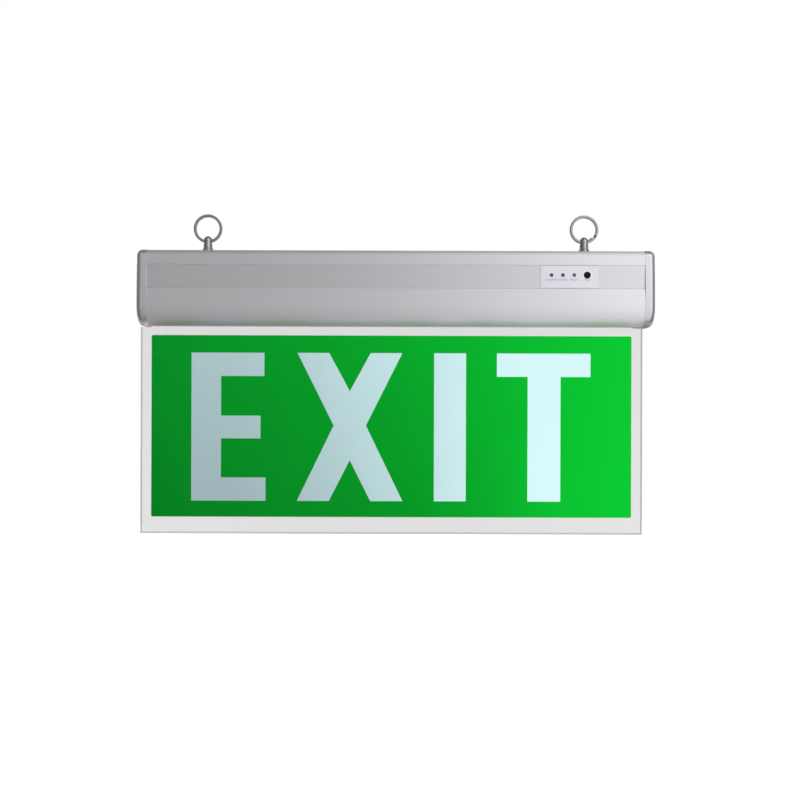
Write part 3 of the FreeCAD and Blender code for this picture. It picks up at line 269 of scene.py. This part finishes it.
def painted_light_along(tree, shader, node, dim, bright, knots, foot_loss):
    """Paints light along X over a CAD node's width: the colour fades from dim to bright towards +X, where the
    studio light falls stronger, through knots of (share of the width, level). It darkens towards the foot, by
    nothing where the level is above lit, and by the share foot_loss where it is below unlit."""
    low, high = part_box(node)
    mottle, lit, unlit = 0.05, 0.8, 0.45
    place = add_node(tree, "ShaderNodeTexCoord")
    axes = add_node(tree, "ShaderNodeSeparateXYZ", {"Vector": place.outputs["Object"]})
    along = add_node(tree, "ShaderNodeMapRange", {"Value": axes.outputs["X"], "From Min": low.x,
                                                  "From Max": high.x})
    fade = add_node(tree, "ShaderNodeFloatCurve", {"Value": along.outputs["Result"]})
    draw_curve(fade, ((0.0, 0.0),) + knots + ((1.0, 1.0),))
    cloud = pattern(tree, 45.0 * MM)
    uneven = add_node(tree, "ShaderNodeMapRange", {"Value": cloud.outputs["Fac"], "To Min": -mottle,
                                                   "To Max": mottle})
    level = add_node(tree, "ShaderNodeMath", {0: fade.outputs["Value"], 1: uneven.outputs["Result"]},
                     operation="ADD", use_clamp=True)
    # painted light: the colour goes from the dim copy to the lit copy along X
    painted_light = add_node(tree, "ShaderNodeMix", {"Factor": level.outputs["Value"]}, data_type="RGBA")
    painted_light.inputs["A"].default_value, painted_light.inputs["B"].default_value = tuple(dim), tuple(bright)
    down = add_node(tree, "ShaderNodeMapRange", {"Value": axes.outputs["Z"], "From Min": high.z,
                                                 "From Max": low.z})
    away = add_node(tree, "ShaderNodeMapRange", {"Value": level.outputs["Value"], "From Min": lit,
                                                 "From Max": unlit})
    foot = add_node(tree, "ShaderNodeMath", {0: down.outputs["Result"], 1: away.outputs["Result"]},
                    operation="MULTIPLY")
    lost = add_node(tree, "ShaderNodeMath", {0: foot.outputs["Value"], 1: foot_loss}, operation="MULTIPLY")
    dark = add_node(tree, "ShaderNodeMix", {"Factor": lost.outputs["Value"],
                                            "A": painted_light.outputs["Result"]}, data_type="RGBA")
    dark.inputs["B"].default_value = (0.0, 0.0, 0.0, 1.0)
    tree.links.new(dark.outputs["Result"], shader.inputs["Base Color"])


def legend_film(colours):
    """Translucent green vinyl film over the opal sheet: strong colour, hardly any gloss of its own."""
    material, tree, shader = new_finish("green_vinyl_film", colours.film_painted_lit, 0.5)
    shader.inputs["Specular IOR Level"].default_value = 0.06
    # painted light: the film's colour fades from dim to bright along X
    painted_light_along(tree, shader, "front_legend_film", colours.film_painted_dim, colours.film_painted_lit,
              ((0.1, 0.08), (0.32, 0.20), (0.5, 0.36), (0.57, 0.46), (0.7, 0.60), (0.82, 0.78)), 0.25)
    return material


def letter_acrylic(colours):
    """The opal sheet where it shows in the letters, tinted by the green around it."""
    material, tree, shader = new_finish("tinted_opal_acrylic", colours.letter_painted_lit, 0.35)
    shader.inputs["Specular IOR Level"].default_value = 0.2
    # painted light: the letters' colour fades from dim to bright along X
    painted_light_along(tree, shader, "front_legend_film", colours.letter_painted_dim, colours.letter_painted_lit,
              ((0.15, 0.02), (0.42, 0.46), (0.63, 0.72), (0.78, 0.97)), 0.22)
    return material


def printed_plate(colours):
    """A silver-printed aluminium plate: flat, a little paler and bluer than the housing."""
    material, tree, shader = new_finish("silver_printed_plate", colours.plate, 0.4, Metallic=0.85)
    grain = pattern(tree, 0.6 * MM)
    drive(tree, shader, grain.outputs["Fac"], (shaded(colours.plate, 0.97), shaded(colours.plate, 1.02)),
          (0.37, 0.43))
    return material


def plate_ink(colours):
    """Grey screen-printing ink: matt, with thin spots."""
    material, tree, shader = new_finish("grey_printing_ink", colours.words, 0.6)
    thin = pattern(tree, 0.2 * MM)
    drive(tree, shader, thin.outputs["Fac"], (shaded(colours.words, 0.9), shaded(colours.words, 1.1)))
    return material


def pale_ink(colours):
    """The plate's pale lacquer round the button."""
    material, tree, shader = new_finish("pale_lacquer", linear("#F4F4FA"), 0.35)
    thin = pattern(tree, 0.3 * MM)
    drive(tree, shader, thin.outputs["Fac"], (linear("#EDEDF4"), linear("#F8F8FC")))
    return material


def lined_metal(name, base, roughness, pitch):
    """Bright metal, plated or bare. The lathe, the rolls or the wire die leave fine lines, pitch metres
    apart."""
    material, tree, shader = new_finish(name, base, roughness, Metallic=1.0)
    lines = pattern(tree, pitch, stretch=(12.0, 12.0, 1.0))
    drive(tree, shader, lines.outputs["Fac"], (shaded(base, 0.88), shaded(base, 1.04)),
          (roughness - 0.04, roughness + 0.05), 0.003 * MM)
    return material


def zinc_plating(name, base, flake):
    """Zinc-plated steel: pale, with a soft cloud of crystals that are flake metres across."""
    material, tree, shader = new_finish(name, base, 0.34, Metallic=1.0)
    spangle = pattern(tree, flake, kind="ShaderNodeTexVoronoi")
    drive(tree, shader, spangle.outputs["Distance"], (shaded(base, 1.03), shaded(base, 0.86)), (0.28, 0.42))
    return material


def moulded_plastic(name, base, roughness, grain, relief=0.01 * MM, **sockets):
    """Injection-moulded plastic with the fine spark-eroded grain of its mould."""
    material, tree, shader = new_finish(name, base, roughness, **sockets)
    texture = pattern(tree, grain)
    drive(tree, shader, texture.outputs["Fac"], (shaded(base, 0.93), shaded(base, 1.06)),
          (roughness - 0.04, roughness + 0.05), relief)
    return material


def clear_lens(name, base):
    """A clear epoxy lamp body, unlit: dark and glassy, with the tint of its colour."""
    material, tree, shader = new_finish(name, base, 0.12, IOR=1.53)
    depth = pattern(tree, 1.2 * MM)
    drive(tree, shader, depth.outputs["Fac"], (shaded(base, 0.8), shaded(base, 1.15)))
    return material


def clear_acrylic():
    """Clear cast acrylic: the light guide, seen only at its edges."""
    material, tree, shader = new_finish("clear_acrylic", linear("#F2FAFA"), 0.06, IOR=1.49)
    shader.inputs["Transmission Weight"].default_value = 0.9
    polish = pattern(tree, 6.0 * MM)
    drive(tree, shader, polish.outputs["Fac"], roughness=(0.04, 0.09))
    return material


def glass_epoxy():
    """Glass-epoxy board under green solder mask, with paler copper tracks showing through it."""
    material, tree, shader = new_finish("glass_epoxy_board", linear("#1F6B38"), 0.35)
    tracks = pattern(tree, 3.2 * MM, kind="ShaderNodeTexBrick")
    tracks.inputs["Mortar Size"].default_value = 0.05
    drive(tree, shader, tracks.outputs["Fac"], (linear("#1A5E30"), linear("#3F9457")), (0.30, 0.42))
    return material


def paper_film(name, base, roughness, fibre):
    """A thin film or tape with a faint fibre."""
    material, tree, shader = new_finish(name, base, roughness)
    fibres = pattern(tree, fibre, stretch=(6.0, 1.0, 1.0))
    drive(tree, shader, fibres.outputs["Fac"], (shaded(base, 0.94), shaded(base, 1.03)),
          (roughness - 0.05, roughness + 0.05))
    return material


def wound_transformer():
    """A tape-wound transformer: yellow polyester tape in bands, 3 mm wide."""
    material, tree, shader = new_finish("yellow_winding_tape", linear("#E0B93A"), 0.38)
    bands = pattern(tree, 3.0 * MM, stretch=(8.0, 8.0, 1.0), kind="ShaderNodeTexWave", bands_direction="Z")
    drive(tree, shader, bands.outputs["Fac"], (linear("#C99F28"), linear("#EBC94E")), (0.34, 0.44))
    return material


def shrink_sleeve(name, base, ripple):
    """Heat-shrunk PVC: a glossy skin with soft ripples."""
    material, tree, shader = new_finish(name, base, 0.24, IOR=1.53)
    ripples = pattern(tree, ripple)
    drive(tree, shader, ripples.outputs["Fac"], (shaded(base, 0.88), shaded(base, 1.1)), (0.2, 0.3),
          0.03 * MM)
    return material


def phosphor_gel():
    """Yellow phosphor gel over an emitter, slightly domed and grainy."""
    material, tree, shader = new_finish("phosphor_gel", linear("#F4E48C"), 0.3)
    grains = pattern(tree, 0.25 * MM)
    drive(tree, shader, grains.outputs["Fac"], (linear("#E9D36A"), linear("#FAF0AC")))
    return material


def make_finishes(colours):
    """Each material slot of the record with its finish."""
    nickel = colours.nickel
    return {
        "housing_aluminium": anodised_aluminium(colours),
        "end_cap_silver": silver_paint(colours),
        "screw_steel": zinc_plating("zinc_plated_screw", linear("#CFCFD0"), 0.5 * MM),
        "opal_acrylic": opal_acrylic(colours),
        "legend_green": legend_film(colours),
        "clear_acrylic": clear_acrylic(),
        "reflector_white": paper_film("white_reflective_tape", linear("#F4F4F4"), 0.5, 0.3 * MM),
        "channel_aluminium": lined_metal("mill_finish_aluminium", linear("#DADADC"), 0.35, 0.3 * MM),
        "led_board_white": paper_film("white_solder_mask", linear("#F3F3F1"), 0.35, 0.8 * MM),
        "emitter_yellow": phosphor_gel(),
        "tray_steel": zinc_plating("zinc_plated_sheet", linear("#CBCCCE"), 3.0 * MM),
        "insulator_film": paper_film("polyester_film", linear("#E3E4DC"), 0.4, 0.5 * MM),
        "board_green": glass_epoxy(),
        "nylon_white": moulded_plastic("natural_nylon", linear("#ECEAE0"), 0.45, 0.5 * MM),
        "transformer_yellow": wound_transformer(),
        "capacitor_black": shrink_sleeve("black_can_sleeve", linear("#1F1F23"), 2.5 * MM),
        "fuse_brown": moulded_plastic("brown_moulded_fuse", linear("#6B3D22"), 0.4, 0.4 * MM),
        "lead_black": moulded_plastic("black_pvc_insulation", linear("#1C1C1C"), 0.4, 0.6 * MM),
        "lead_red": moulded_plastic("red_pvc_insulation", linear("#B41E1E"), 0.4, 0.6 * MM),
        "lead_white": moulded_plastic("white_pvc_insulation", linear("#ECECEA"), 0.4, 0.6 * MM),
        "battery_sleeve": shrink_sleeve("blue_shrink_sleeve", linear("#2F5FA8"), 6.0 * MM),
        "clip_spring_steel": lined_metal("spring_steel", linear("#A9ABAF"), 0.3, 0.2 * MM),
        "lamp_red": clear_lens("red_lamp_lens", linear("#574A4E")),
        "lamp_green": clear_lens("green_lamp_lens", linear("#4A4F4E")),
        "lamp_amber": clear_lens("amber_lamp_lens", linear("#66625C")),
        "switch_black": moulded_plastic("black_switch_nylon", linear("#1E1E1E"), 0.4, 0.4 * MM),
        "button_black": moulded_plastic("black_button_abs", linear("#060607"), 0.5, 0.3 * MM, 0.004 * MM,
                                        Specular_IOR_Level=0.2),
        "status_plate_silver": printed_plate(colours),
        "stud_nickel": lined_metal("turned_nickel_plating", nickel, 0.3, 0.25 * MM),
        "ring_nickel": lined_metal("drawn_nickel_plating", shaded(nickel, 0.82), 0.26, 0.3 * MM),
        "grommet_rubber": moulded_plastic("grey_rubber", linear("#9C9C9E"), 0.6, 0.4 * MM),
        "letters": letter_acrylic(colours),
        "ink": plate_ink(colours),
        "halo": pale_ink(colours),
    }


FINISHES = {}


def finish(slot):
    """The finish of a slot; all of them are made at the first call."""
    if not FINISHES:
        FINISHES.update(make_finishes(bpy.context.scene.exit_light_colours))
    return FINISHES[slot]


def dress(*nodes):
    """Gives CAD nodes the finish of the slot that the record names for them."""
    slots = {part["node"]: part["material_slot"] for part in frame["record"]["subparts"]}
    for name in nodes:
        mesh = frame["nodes"][name].data
        if not mesh.materials:
            mesh.materials.append(None)
        for index in range(len(mesh.materials)):
            mesh.materials[index] = finish(slots[name])


# ---------------------------------------------------------------- meshes

def new_piece(name, points, faces, material, body="housing", smooth=False):
    """A mesh piece at the origin, from an array of points and lists of corner numbers. It rides on a body and
    takes the material it is given."""
    mesh = bpy.data.meshes.new(name)
    mesh.from_pydata(np.asarray(points).reshape(-1, 3), [], [list(map(int, face)) for face in faces])
    mesh.materials.append(material)
    mesh.polygons.foreach_set("use_smooth", np.full(len(mesh.polygons), smooth))
    mesh.update()
    piece = bpy.data.objects.new(name, mesh)
    bpy.context.scene.collection.objects.link(piece)
    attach(piece, body)
    return piece


def grid_faces(rows, columns):
    """Quads between neighbouring rows of a grid whose rows are closed loops: row i, column j is joined to
    column j + 1 and to row i + 1. Then one face closes each end."""
    i, j = np.meshgrid(np.arange(rows - 1), np.arange(columns), indexing="ij")
    k = (j + 1) % columns
    quads = np.stack([i * columns + j, i * columns + k, (i + 1) * columns + k, (i + 1) * columns + j], -1)
    first = np.arange(columns)[::-1]
    last = np.arange(columns) + (rows - 1) * columns
    return list(quads.reshape(-1, 4)) + [first, last]


def thin_plate(name, outline, back, front, material):
    """A flat plate: its outline, as (x, z) corners, carried along Y from back to front. The two faces are
    the outline at each depth, and the walls join them."""
    x, z = np.asarray(outline, float).T
    rows = [np.column_stack([x, np.full_like(x, y), z]) for y in (back, front)]
    area = np.sum(x * np.roll(z, -1) - np.roll(x, -1) * z)
    if area * (front - back) > 0:
        rows = [row[::-1] for row in rows]
    return new_piece(name, np.vstack(rows), grid_faces(2, len(x)), material)


def ring_plate(name, centre, radii, back, front, material):
    """A flat washer: at angle a each corner of its section stands at radius r from centre, so
    x = cx + r cos a and z = cz + r sin a, for the section's four corners (r, y)."""
    around = 48
    a = np.linspace(0.0, 2 * math.pi, around, endpoint=False)[:, None]
    r = np.array([radii[0], radii[1], radii[1], radii[0]])[None, :]
    y = np.array([back, back, front, front])[None, :] + 0 * a
    points = np.stack([centre[0] + r * np.cos(a), y, centre[1] + r * np.sin(a)], -1)
    i, j = np.meshgrid(np.arange(around), np.arange(4), indexing="ij")
    n, k = (i + 1) % around, (j + 1) % 4
    quads = np.stack([i * 4 + j, i * 4 + k, n * 4 + k, n * 4 + j], -1).reshape(-1, 4)
    return new_piece(name, points, quads, material)


def smooth_step(share):
    """Goes from 0 to 1 with the share, level at both ends: 3 share squared less 2 share cubed."""
    return share * share * (3 - 2 * share)


def superellipse(cosine, width):
    """A round section's coordinate made squarer: half the width times the root of the cosine, by sign."""
    return np.sign(cosine) * np.sqrt(np.abs(cosine)) * width / 2


def split_ring(name, node, jog_deg, spring, body):
    """Two turns of wire in one helix. At s degrees along it, from one free end to the other, the angle round
    the ring is jog + s. The depth goes from the front turn to the back turn by a smooth step over the jog.
    The radius draws in by spring towards the rear free end. The wire's section is a superellipse: at place t
    its width goes with the square root of cos t, and its thickness with the square root of sin t. Over the
    nose at each free end it tapers as a quarter circle does, down to a blunt tip."""
    jog_length, draw_in = 16.0, 70.0    # degrees of winding
    nose, blunt = 0.35 * MM, 0.12       # the nose's length, and the tip's share of the section's area
    places, corners = 353, 24           # sections along the wire, and corners of each
    sizes = bpy.context.scene.exit_light_sizes
    low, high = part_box(node)
    centre_x, centre_z = (low.x + high.x) / 2, (low.z + high.z) / 2
    gap = (high.y - low.y) - 2 * sizes.wire_thickness
    depth = (sizes.wire_thickness + gap) / 2
    mean = (high.x - low.x - sizes.wire_width) / 2
    total = 720.0 - jog_length
    s = np.linspace(0.0, total, places)
    step = np.clip((s - (360.0 - jog_length)) / jog_length, 0.0, 1.0)
    y = depth * (2 * smooth_step(step) - 1)
    near_end = np.clip((s - (total - draw_in)) / draw_in, 0.0, 1.0)
    radius = mean - spring * smooth_step(near_end)
    from_tip = np.minimum(s, total - s) * math.pi / 180 * mean
    taper = np.sqrt(np.clip(1 - (1 - from_tip / nose).clip(0, 1) ** 2, blunt, 1.0))
    t = np.linspace(0.0, 2 * math.pi, corners, endpoint=False)
    across = superellipse(np.cos(t), sizes.wire_width)
    through = superellipse(np.sin(t), sizes.wire_thickness)
    angle = np.radians(jog_deg + s)[:, None]
    r = radius[:, None] + across[None, :] * taper[:, None]
    depths = y[:, None] + through[None, :] * taper[:, None]
    points = np.stack([centre_x + r * np.cos(angle), depths, centre_z + r * np.sin(angle)], -1)
    piece = new_piece(name, points, grid_faces(places, corners), finish("ring_nickel"), body,
                      smooth=True)
    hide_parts(node)
    return piece


def letter_outlines(height, bar):
    """The sign's letters as (left edge, corners), with corners from the left edge and the foot up. Stroke
    widths follow the height, as the letters' own proportions do."""
    stem = 0.2 * height
    arm, short_arm, foot_arm = 0.492 * height, 0.467 * height, 0.502 * height
    mid_low, mid_high = 0.421 * height, 0.575 * height
    letter_e = [(0, 0), (foot_arm, 0), (foot_arm, bar), (stem, bar), (stem, mid_low), (short_arm, mid_low),
                (short_arm, mid_high), (stem, mid_high), (stem, height - bar), (arm, height - bar),
                (arm, height), (0, height)]
    half, stroke = 0.357 * height, 0.217 * height
    waist, waist_z, notch_top, notch_low = 0.109 * height, 0.51 * height, 0.742 * height, 0.276 * height
    lean = 0.003 * height
    right = [(half - stroke, 0), (half, 0), (waist, waist_z), (half - lean, height),
             (half - stroke, height), (0, notch_top)]
    left = [(-x, z) for x, z in right[:-1]][::-1] + [(0, notch_low)]
    letter_x = [(x + half, z) for x, z in right + left]
    pillar = 0.2154 * height
    letter_i = [(0, 0), (pillar, 0), (pillar, height), (0, height)]
    width, post, start = 0.632 * height, 0.222 * height, 0.208 * height
    letter_t = [(start, 0), (start + post, 0), (start + post, height - bar), (width, height - bar),
                (width, height), (0, height), (0, height - bar), (start, height - bar)]
    return {"E": letter_e, "X": letter_x, "I": letter_i, "T": letter_t}


# left edge of each letter, from the green field's left edge, as shares of the letters' height
LETTER_STARTS = {"E": 0.270, "X": 0.983, "I": 1.909, "T": 2.333}


def word_outline(text, size, centre, depth, material, name):
    """A printed word: the built-in type as a thin mesh, its X and Y turned into the plate's X and Z."""
    curve = bpy.data.curves.new(name, "FONT")
    curve.body, curve.size, curve.align_x = text, 1.0, "CENTER"
    curve.resolution_u = 3
    holder = bpy.data.objects.new(name, curve)
    bpy.context.scene.collection.objects.link(holder)
    bpy.context.view_layer.update()
    flat = bpy.data.meshes.new_from_object(holder.evaluated_get(bpy.context.evaluated_depsgraph_get()))
    corners = np.zeros(len(flat.vertices) * 3)
    flat.vertices.foreach_get("co", corners)
    corners = corners.reshape(-1, 3) * size
    points = np.column_stack([centre[0] + corners[:, 0], np.full(len(corners), depth),
                              centre[1] + corners[:, 1]])
    faces = [tuple(face.vertices) for face in flat.polygons]
    bpy.data.objects.remove(holder)
    bpy.data.curves.remove(curve)
    bpy.data.meshes.remove(flat)
    return new_piece(name, points, faces, material)


# ---------------------------------------------------------------- operators

class EXITLIGHT_OT_stage(bpy.types.Operator):
    """Sets up the floor, the soft studio light and the camera"""
    bl_idname = "exit_light.stage"
    bl_label = "Stage"

    # light of the studio walls at degrees round the housing, from the front, the right side positive
    AROUND = ((-180, 0.2), (-160, 0.3), (-137, 0.65), (-110, 0.18), (-60, 0.15), (-32, 0.28), (-18, 0.46),
              (-11, 0.41), (-3, 0.28), (3, 0.42), (8, 0.88), (13, 1.14), (22, 1.3), (36, 1.05), (50, 0.7),
              (70, 0.36), (110, 0.18), (137, 0.65), (160, 0.3), (180, 0.2))
    # and how it changes with the height of a direction, from straight down to straight up
    UPWARD = ((-1.0, 0.90), (-0.86, 0.90), (-0.5, 0.97), (-0.26, 1.02), (0.0, 1.07), (0.22, 1.2),
              (0.42, 1.47), (0.6, 1.42), (0.8, 0.85), (1.0, 0.48))
    # no level above is brighter; it turns them into the 0 to 1 that a curve holds
    BRIGHTEST = 1.5
    # the even light that matt surfaces get
    FILL = 0.3

    # the four panel lights: how far aside, before or behind, and above the sign's middle; width and watts
    LIGHT_ASIDE, LIGHT_AWAY, LIGHT_ABOVE = 0.68, 1.45, -0.28
    LIGHT_WIDTH, LIGHT_POWER = 0.9, 11.2

    # how far the floor lies below the sign, and reaches to each side
    FLOOR_DROP, FLOOR_REACH = 0.6, 6.0

    # the camera's place, its roll in degrees, and its lens and sensor in millimetres
    CAMERA_PLACE = (3.2 * MM, -869.0 * MM, -105.25 * MM)
    CAMERA_ROLL = -0.18
    LENS, SENSOR = 54.64, 36.0

    def make_world(self, scene):
        """A white backdrop for the camera, graded walls for reflections, and even light for matt surfaces."""
        world = bpy.data.worlds.new("studio")
        scene.world = world
        world.use_nodes = True
        tree = world.node_tree
        background = tree.nodes["Background"]
        way = add_node(tree, "ShaderNodeTexCoord")
        axes = add_node(tree, "ShaderNodeSeparateXYZ", {"Vector": way.outputs["Generated"]})
        front = add_node(tree, "ShaderNodeMath", {0: axes.outputs["Y"], 1: -1.0}, operation="MULTIPLY")
        turn = add_node(tree, "ShaderNodeMath", {0: axes.outputs["X"], 1: front.outputs["Value"]},
                        operation="ARCTAN2")
        around = add_node(tree, "ShaderNodeMapRange", {"Value": turn.outputs["Value"], "From Min": -math.pi,
                                                       "From Max": math.pi})
        rise = add_node(tree, "ShaderNodeMapRange", {"Value": axes.outputs["Z"], "From Min": -1.0})
        round_about = add_node(tree, "ShaderNodeFloatCurve", {"Value": around.outputs["Result"]})
        draw_curve(round_about, [(a / 360 + 0.5, v / self.BRIGHTEST) for a, v in self.AROUND])
        up_down = add_node(tree, "ShaderNodeFloatCurve", {"Value": rise.outputs["Result"]})
        draw_curve(up_down, [(z / 2 + 0.5, v / self.BRIGHTEST) for z, v in self.UPWARD])
        level = add_node(tree, "ShaderNodeMath", {0: round_about.outputs["Value"],
                                                  1: up_down.outputs["Value"]}, operation="MULTIPLY")
        walls = add_node(tree, "ShaderNodeMath", {0: level.outputs["Value"], 1: self.BRIGHTEST ** 2},
                         operation="MULTIPLY")
        path = add_node(tree, "ShaderNodeLightPath")
        inner = add_node(tree, "ShaderNodeMix", {"Factor": path.outputs["Is Glossy Ray"], "A": self.FILL,
                                                 "B": walls.outputs["Value"]})
        seen = add_node(tree, "ShaderNodeMix", {"Factor": path.outputs["Is Camera Ray"],
                                                "A": inner.outputs["Result"], "B": 1.0})
        tree.links.new(seen.outputs["Result"], background.inputs["Strength"])
        background.inputs["Color"].default_value = (1.0, 1.0, 1.0, 1.0)

    def make_light(self, name, place, target):
        """A soft panel light that reflections don't show, turned from its place towards a target."""
        light = bpy.data.lights.new(name, "AREA")
        light.shape, light.size, light.energy = "DISK", self.LIGHT_WIDTH, self.LIGHT_POWER
        holder = bpy.data.objects.new(name, light)
        bpy.context.scene.collection.objects.link(holder)
        holder.location = place
        holder.rotation_euler = (target - holder.location).to_track_quat("-Z", "Y").to_euler()
        holder.visible_camera = False
        holder.visible_glossy = False

    def make_floor(self, low):
        """A wide pale floor, well below the sign: one flat face, z = the floor's height."""
        z = low.z - self.FLOOR_DROP
        reach = self.FLOOR_REACH
        corners = [(-reach, -reach, z), (reach, -reach, z), (reach, reach, z), (-reach, reach, z)]
        mesh = bpy.data.meshes.new("pale_floor")
        mesh.from_pydata(corners, [], [(0, 1, 2, 3)])
        material, tree, shader = new_finish("matt_white_floor", linear("#FAFAFA"), 0.9)
        wash = pattern(tree, 500.0 * MM)
        drive(tree, shader, wash.outputs["Fac"], (linear("#F8F8F8"), linear("#FCFCFC")))
        shader.inputs["Emission Color"].default_value = (1.0, 1.0, 1.0, 1.0)
        shader.inputs["Emission Strength"].default_value = 1.0
        mesh.materials.append(material)
        floor = bpy.data.objects.new("pale_floor", mesh)
        bpy.context.scene.collection.objects.link(floor)
        floor.visible_glossy = False
        floor.visible_diffuse = False

    def make_camera(self, scene):
        """A level camera before the sign, a little below the housing."""
        lens = bpy.data.cameras.new("camera")
        lens.sensor_width = self.SENSOR
        lens.lens = self.LENS
        camera = bpy.data.objects.new("camera", lens)
        camera.location = self.CAMERA_PLACE
        camera.rotation_euler = (math.radians(90.0), math.radians(self.CAMERA_ROLL), 0.0)
        scene.collection.objects.link(camera)
        scene.camera = camera

    def execute(self, context):
        scene = context.scene
        scene.view_settings.view_transform = "Standard"
        low, high = cad_box
        middle = (low + high) / 2
        self.make_world(scene)
        for side, front in ((-1, -1), (1, -1), (-1, 1), (1, 1)):
            offset = (side * self.LIGHT_ASIDE, front * self.LIGHT_AWAY, self.LIGHT_ABOVE)
            name = f"panel_light_{'front' if front < 0 else 'back'}_{'left' if side < 0 else 'right'}"
            self.make_light(name, middle + type(middle)(offset), middle)
        self.make_floor(low)
        self.make_camera(scene)
        return {"FINISHED"}


class EXITLIGHT_OT_housing(bpy.types.Operator):
    """Finishes the extruded housing, its end caps, their screws and the cable grommet"""
    bl_idname = "exit_light.housing"
    bl_label = "Housing"

    def execute(self, context):
        dress("housing_extrusion", "end_cap_left", "end_cap_right", "end_cap_screws_left",
              "end_cap_screws_right", "cable_grommet")
        return {"FINISHED"}


class EXITLIGHT_OT_sign(bpy.types.Operator):
    """Finishes the sign panel and adds its letters on both faces"""
    bl_idname = "exit_light.sign"
    bl_label = "Sign panel and letters"

    def execute(self, context):
        sizes = context.scene.exit_light_sizes
        dress("front_sign_sheet", "back_sign_sheet", "front_legend_film", "back_legend_film", "light_guide",
              "edge_reflector")
        height = sizes.letter_height
        outlines = letter_outlines(height, sizes.bar_width)
        for face, node, side in (("front", "front_legend_film", -1), ("back", "back_legend_film", 1)):
            low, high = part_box(node)
            start = low.x if side < 0 else high.x
            foot = high.z - sizes.letter_drop - height
            back = (low.y if side < 0 else high.y) + side * sizes.film_gap
            for letter, outline in outlines.items():
                corners = [(start - side * (LETTER_STARTS[letter] * height + x), foot + z)
                           for x, z in outline]
                thin_plate(f"{face}_letter_{letter.lower()}", corners, back,
                           back + side * sizes.letter_thickness, finish("letters"))
        return {"FINISHED"}


class EXITLIGHT_OT_indicators(bpy.types.Operator):
    """Finishes the indicator plate, the lamps and the test button, and prints the plate"""
    bl_idname = "exit_light.indicators"
    bl_label = "Indicator plate"

    WORDS = {"charge_lamp": "CHARGE", "mains_lamp": "MAINS", "fault_lamp": "FAULT", "test_button": "TEST"}

    def execute(self, context):
        sizes = context.scene.exit_light_sizes
        dress("status_plate", "charge_lamp", "mains_lamp", "fault_lamp", "test_button", "test_switch",
              "indicator_board", "indicator_board_spacers", "indicator_board_screws", "indicator_board_nuts")
        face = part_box("status_plate")[0].y
        for node, word in self.WORDS.items():
            low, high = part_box(node)
            centre = ((low.x + high.x) / 2, (low.z + high.z) / 2 - sizes.word_drop)
            word_outline(word, sizes.word_height, centre, face - sizes.print_thickness, finish("ink"),
                         f"word_{word.lower()}")
        low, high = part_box("test_button")
        centre, inner = ((low.x + high.x) / 2, (low.z + high.z) / 2), sizes.halo_bore / 2
        ring_plate("button_halo", centre, (inner, inner + sizes.halo_width), face,
                   face - sizes.print_thickness, finish("halo"))
        return {"FINISHED"}


class EXITLIGHT_OT_hangers(bpy.types.Operator):
    """Finishes the studs, washers and nuts, and winds the two split rings"""
    bl_idname = "exit_light.hangers"
    bl_label = "Studs and split rings"

    def execute(self, context):
        dress("hanging_stud_left", "hanging_stud_right", "stud_washers", "stud_nuts", "hanging_ring_left",
              "hanging_ring_right")
        split_ring("split_ring_left", "hanging_ring_left", jog_deg=205.0, spring=0.1 * MM, body="ring_left")
        split_ring("split_ring_right", "hanging_ring_right", jog_deg=-28.0, spring=0.7 * MM,
                   body="ring_right")
        return {"FINISHED"}


class EXITLIGHT_OT_light_bar(bpy.types.Operator):
    """Finishes the light bar that lights the panel's edge, and its clamp"""
    bl_idname = "exit_light.light_bar"
    bl_label = "Light bar"

    def execute(self, context):
        dress("light_bar_channel", "led_strip_board", "led_emitters", "panel_clamp_screws",
              "panel_clamp_nuts")
        return {"FINISHED"}


class EXITLIGHT_OT_gear(bpy.types.Operator):
    """Finishes the gear tray with the driver, the battery pack, the terminals and the leads"""
    bl_idname = "exit_light.gear"
    bl_label = "Control gear"

    def execute(self, context):
        dress("gear_tray", "driver_insulator", "driver_board", "driver_standoffs", "driver_transformer",
              "driver_capacitors", "driver_fuse", "driver_headers", "mains_terminal_block", "terminal_screws",
              "mains_leads", "battery_pack", "battery_clips", "battery_lead", "indicator_lead",
              "light_bar_lead")
        return {"FINISHED"}


class EXITLIGHT_PT_panel(bpy.types.Panel):
    """Lists the steps that dress the exit light"""
    bl_label = "Exit light"
    bl_space_type = "VIEW_3D"
    bl_region_type = "UI"
    bl_category = "Exit light"

    def draw(self, context):
        for step in STEPS:
            self.layout.operator(step.bl_idname)
        for group in (context.scene.exit_light_sizes, context.scene.exit_light_colours):
            for name in group.__annotations__:
                self.layout.prop(group, name)


STEPS = (EXITLIGHT_OT_stage, EXITLIGHT_OT_housing, EXITLIGHT_OT_sign, EXITLIGHT_OT_indicators,
         EXITLIGHT_OT_hangers, EXITLIGHT_OT_light_bar, EXITLIGHT_OT_gear)
CLASSES = (ExitLightSizes, ExitLightColours) + STEPS + (EXITLIGHT_PT_panel,)


def register():
    for item in CLASSES:
        bpy.utils.register_class(item)
    bpy.types.Scene.exit_light_sizes = bpy.props.PointerProperty(type=ExitLightSizes)
    bpy.types.Scene.exit_light_colours = bpy.props.PointerProperty(type=ExitLightColours)


def unregister():
    del bpy.types.Scene.exit_light_colours
    del bpy.types.Scene.exit_light_sizes
    for item in reversed(CLASSES):
        bpy.utils.unregister_class(item)


def main():
    register()
    for step in STEPS:
        group, name = step.bl_idname.split(".")
        getattr(getattr(bpy.ops, group), name)()


if __name__ == "__main__":
    main()
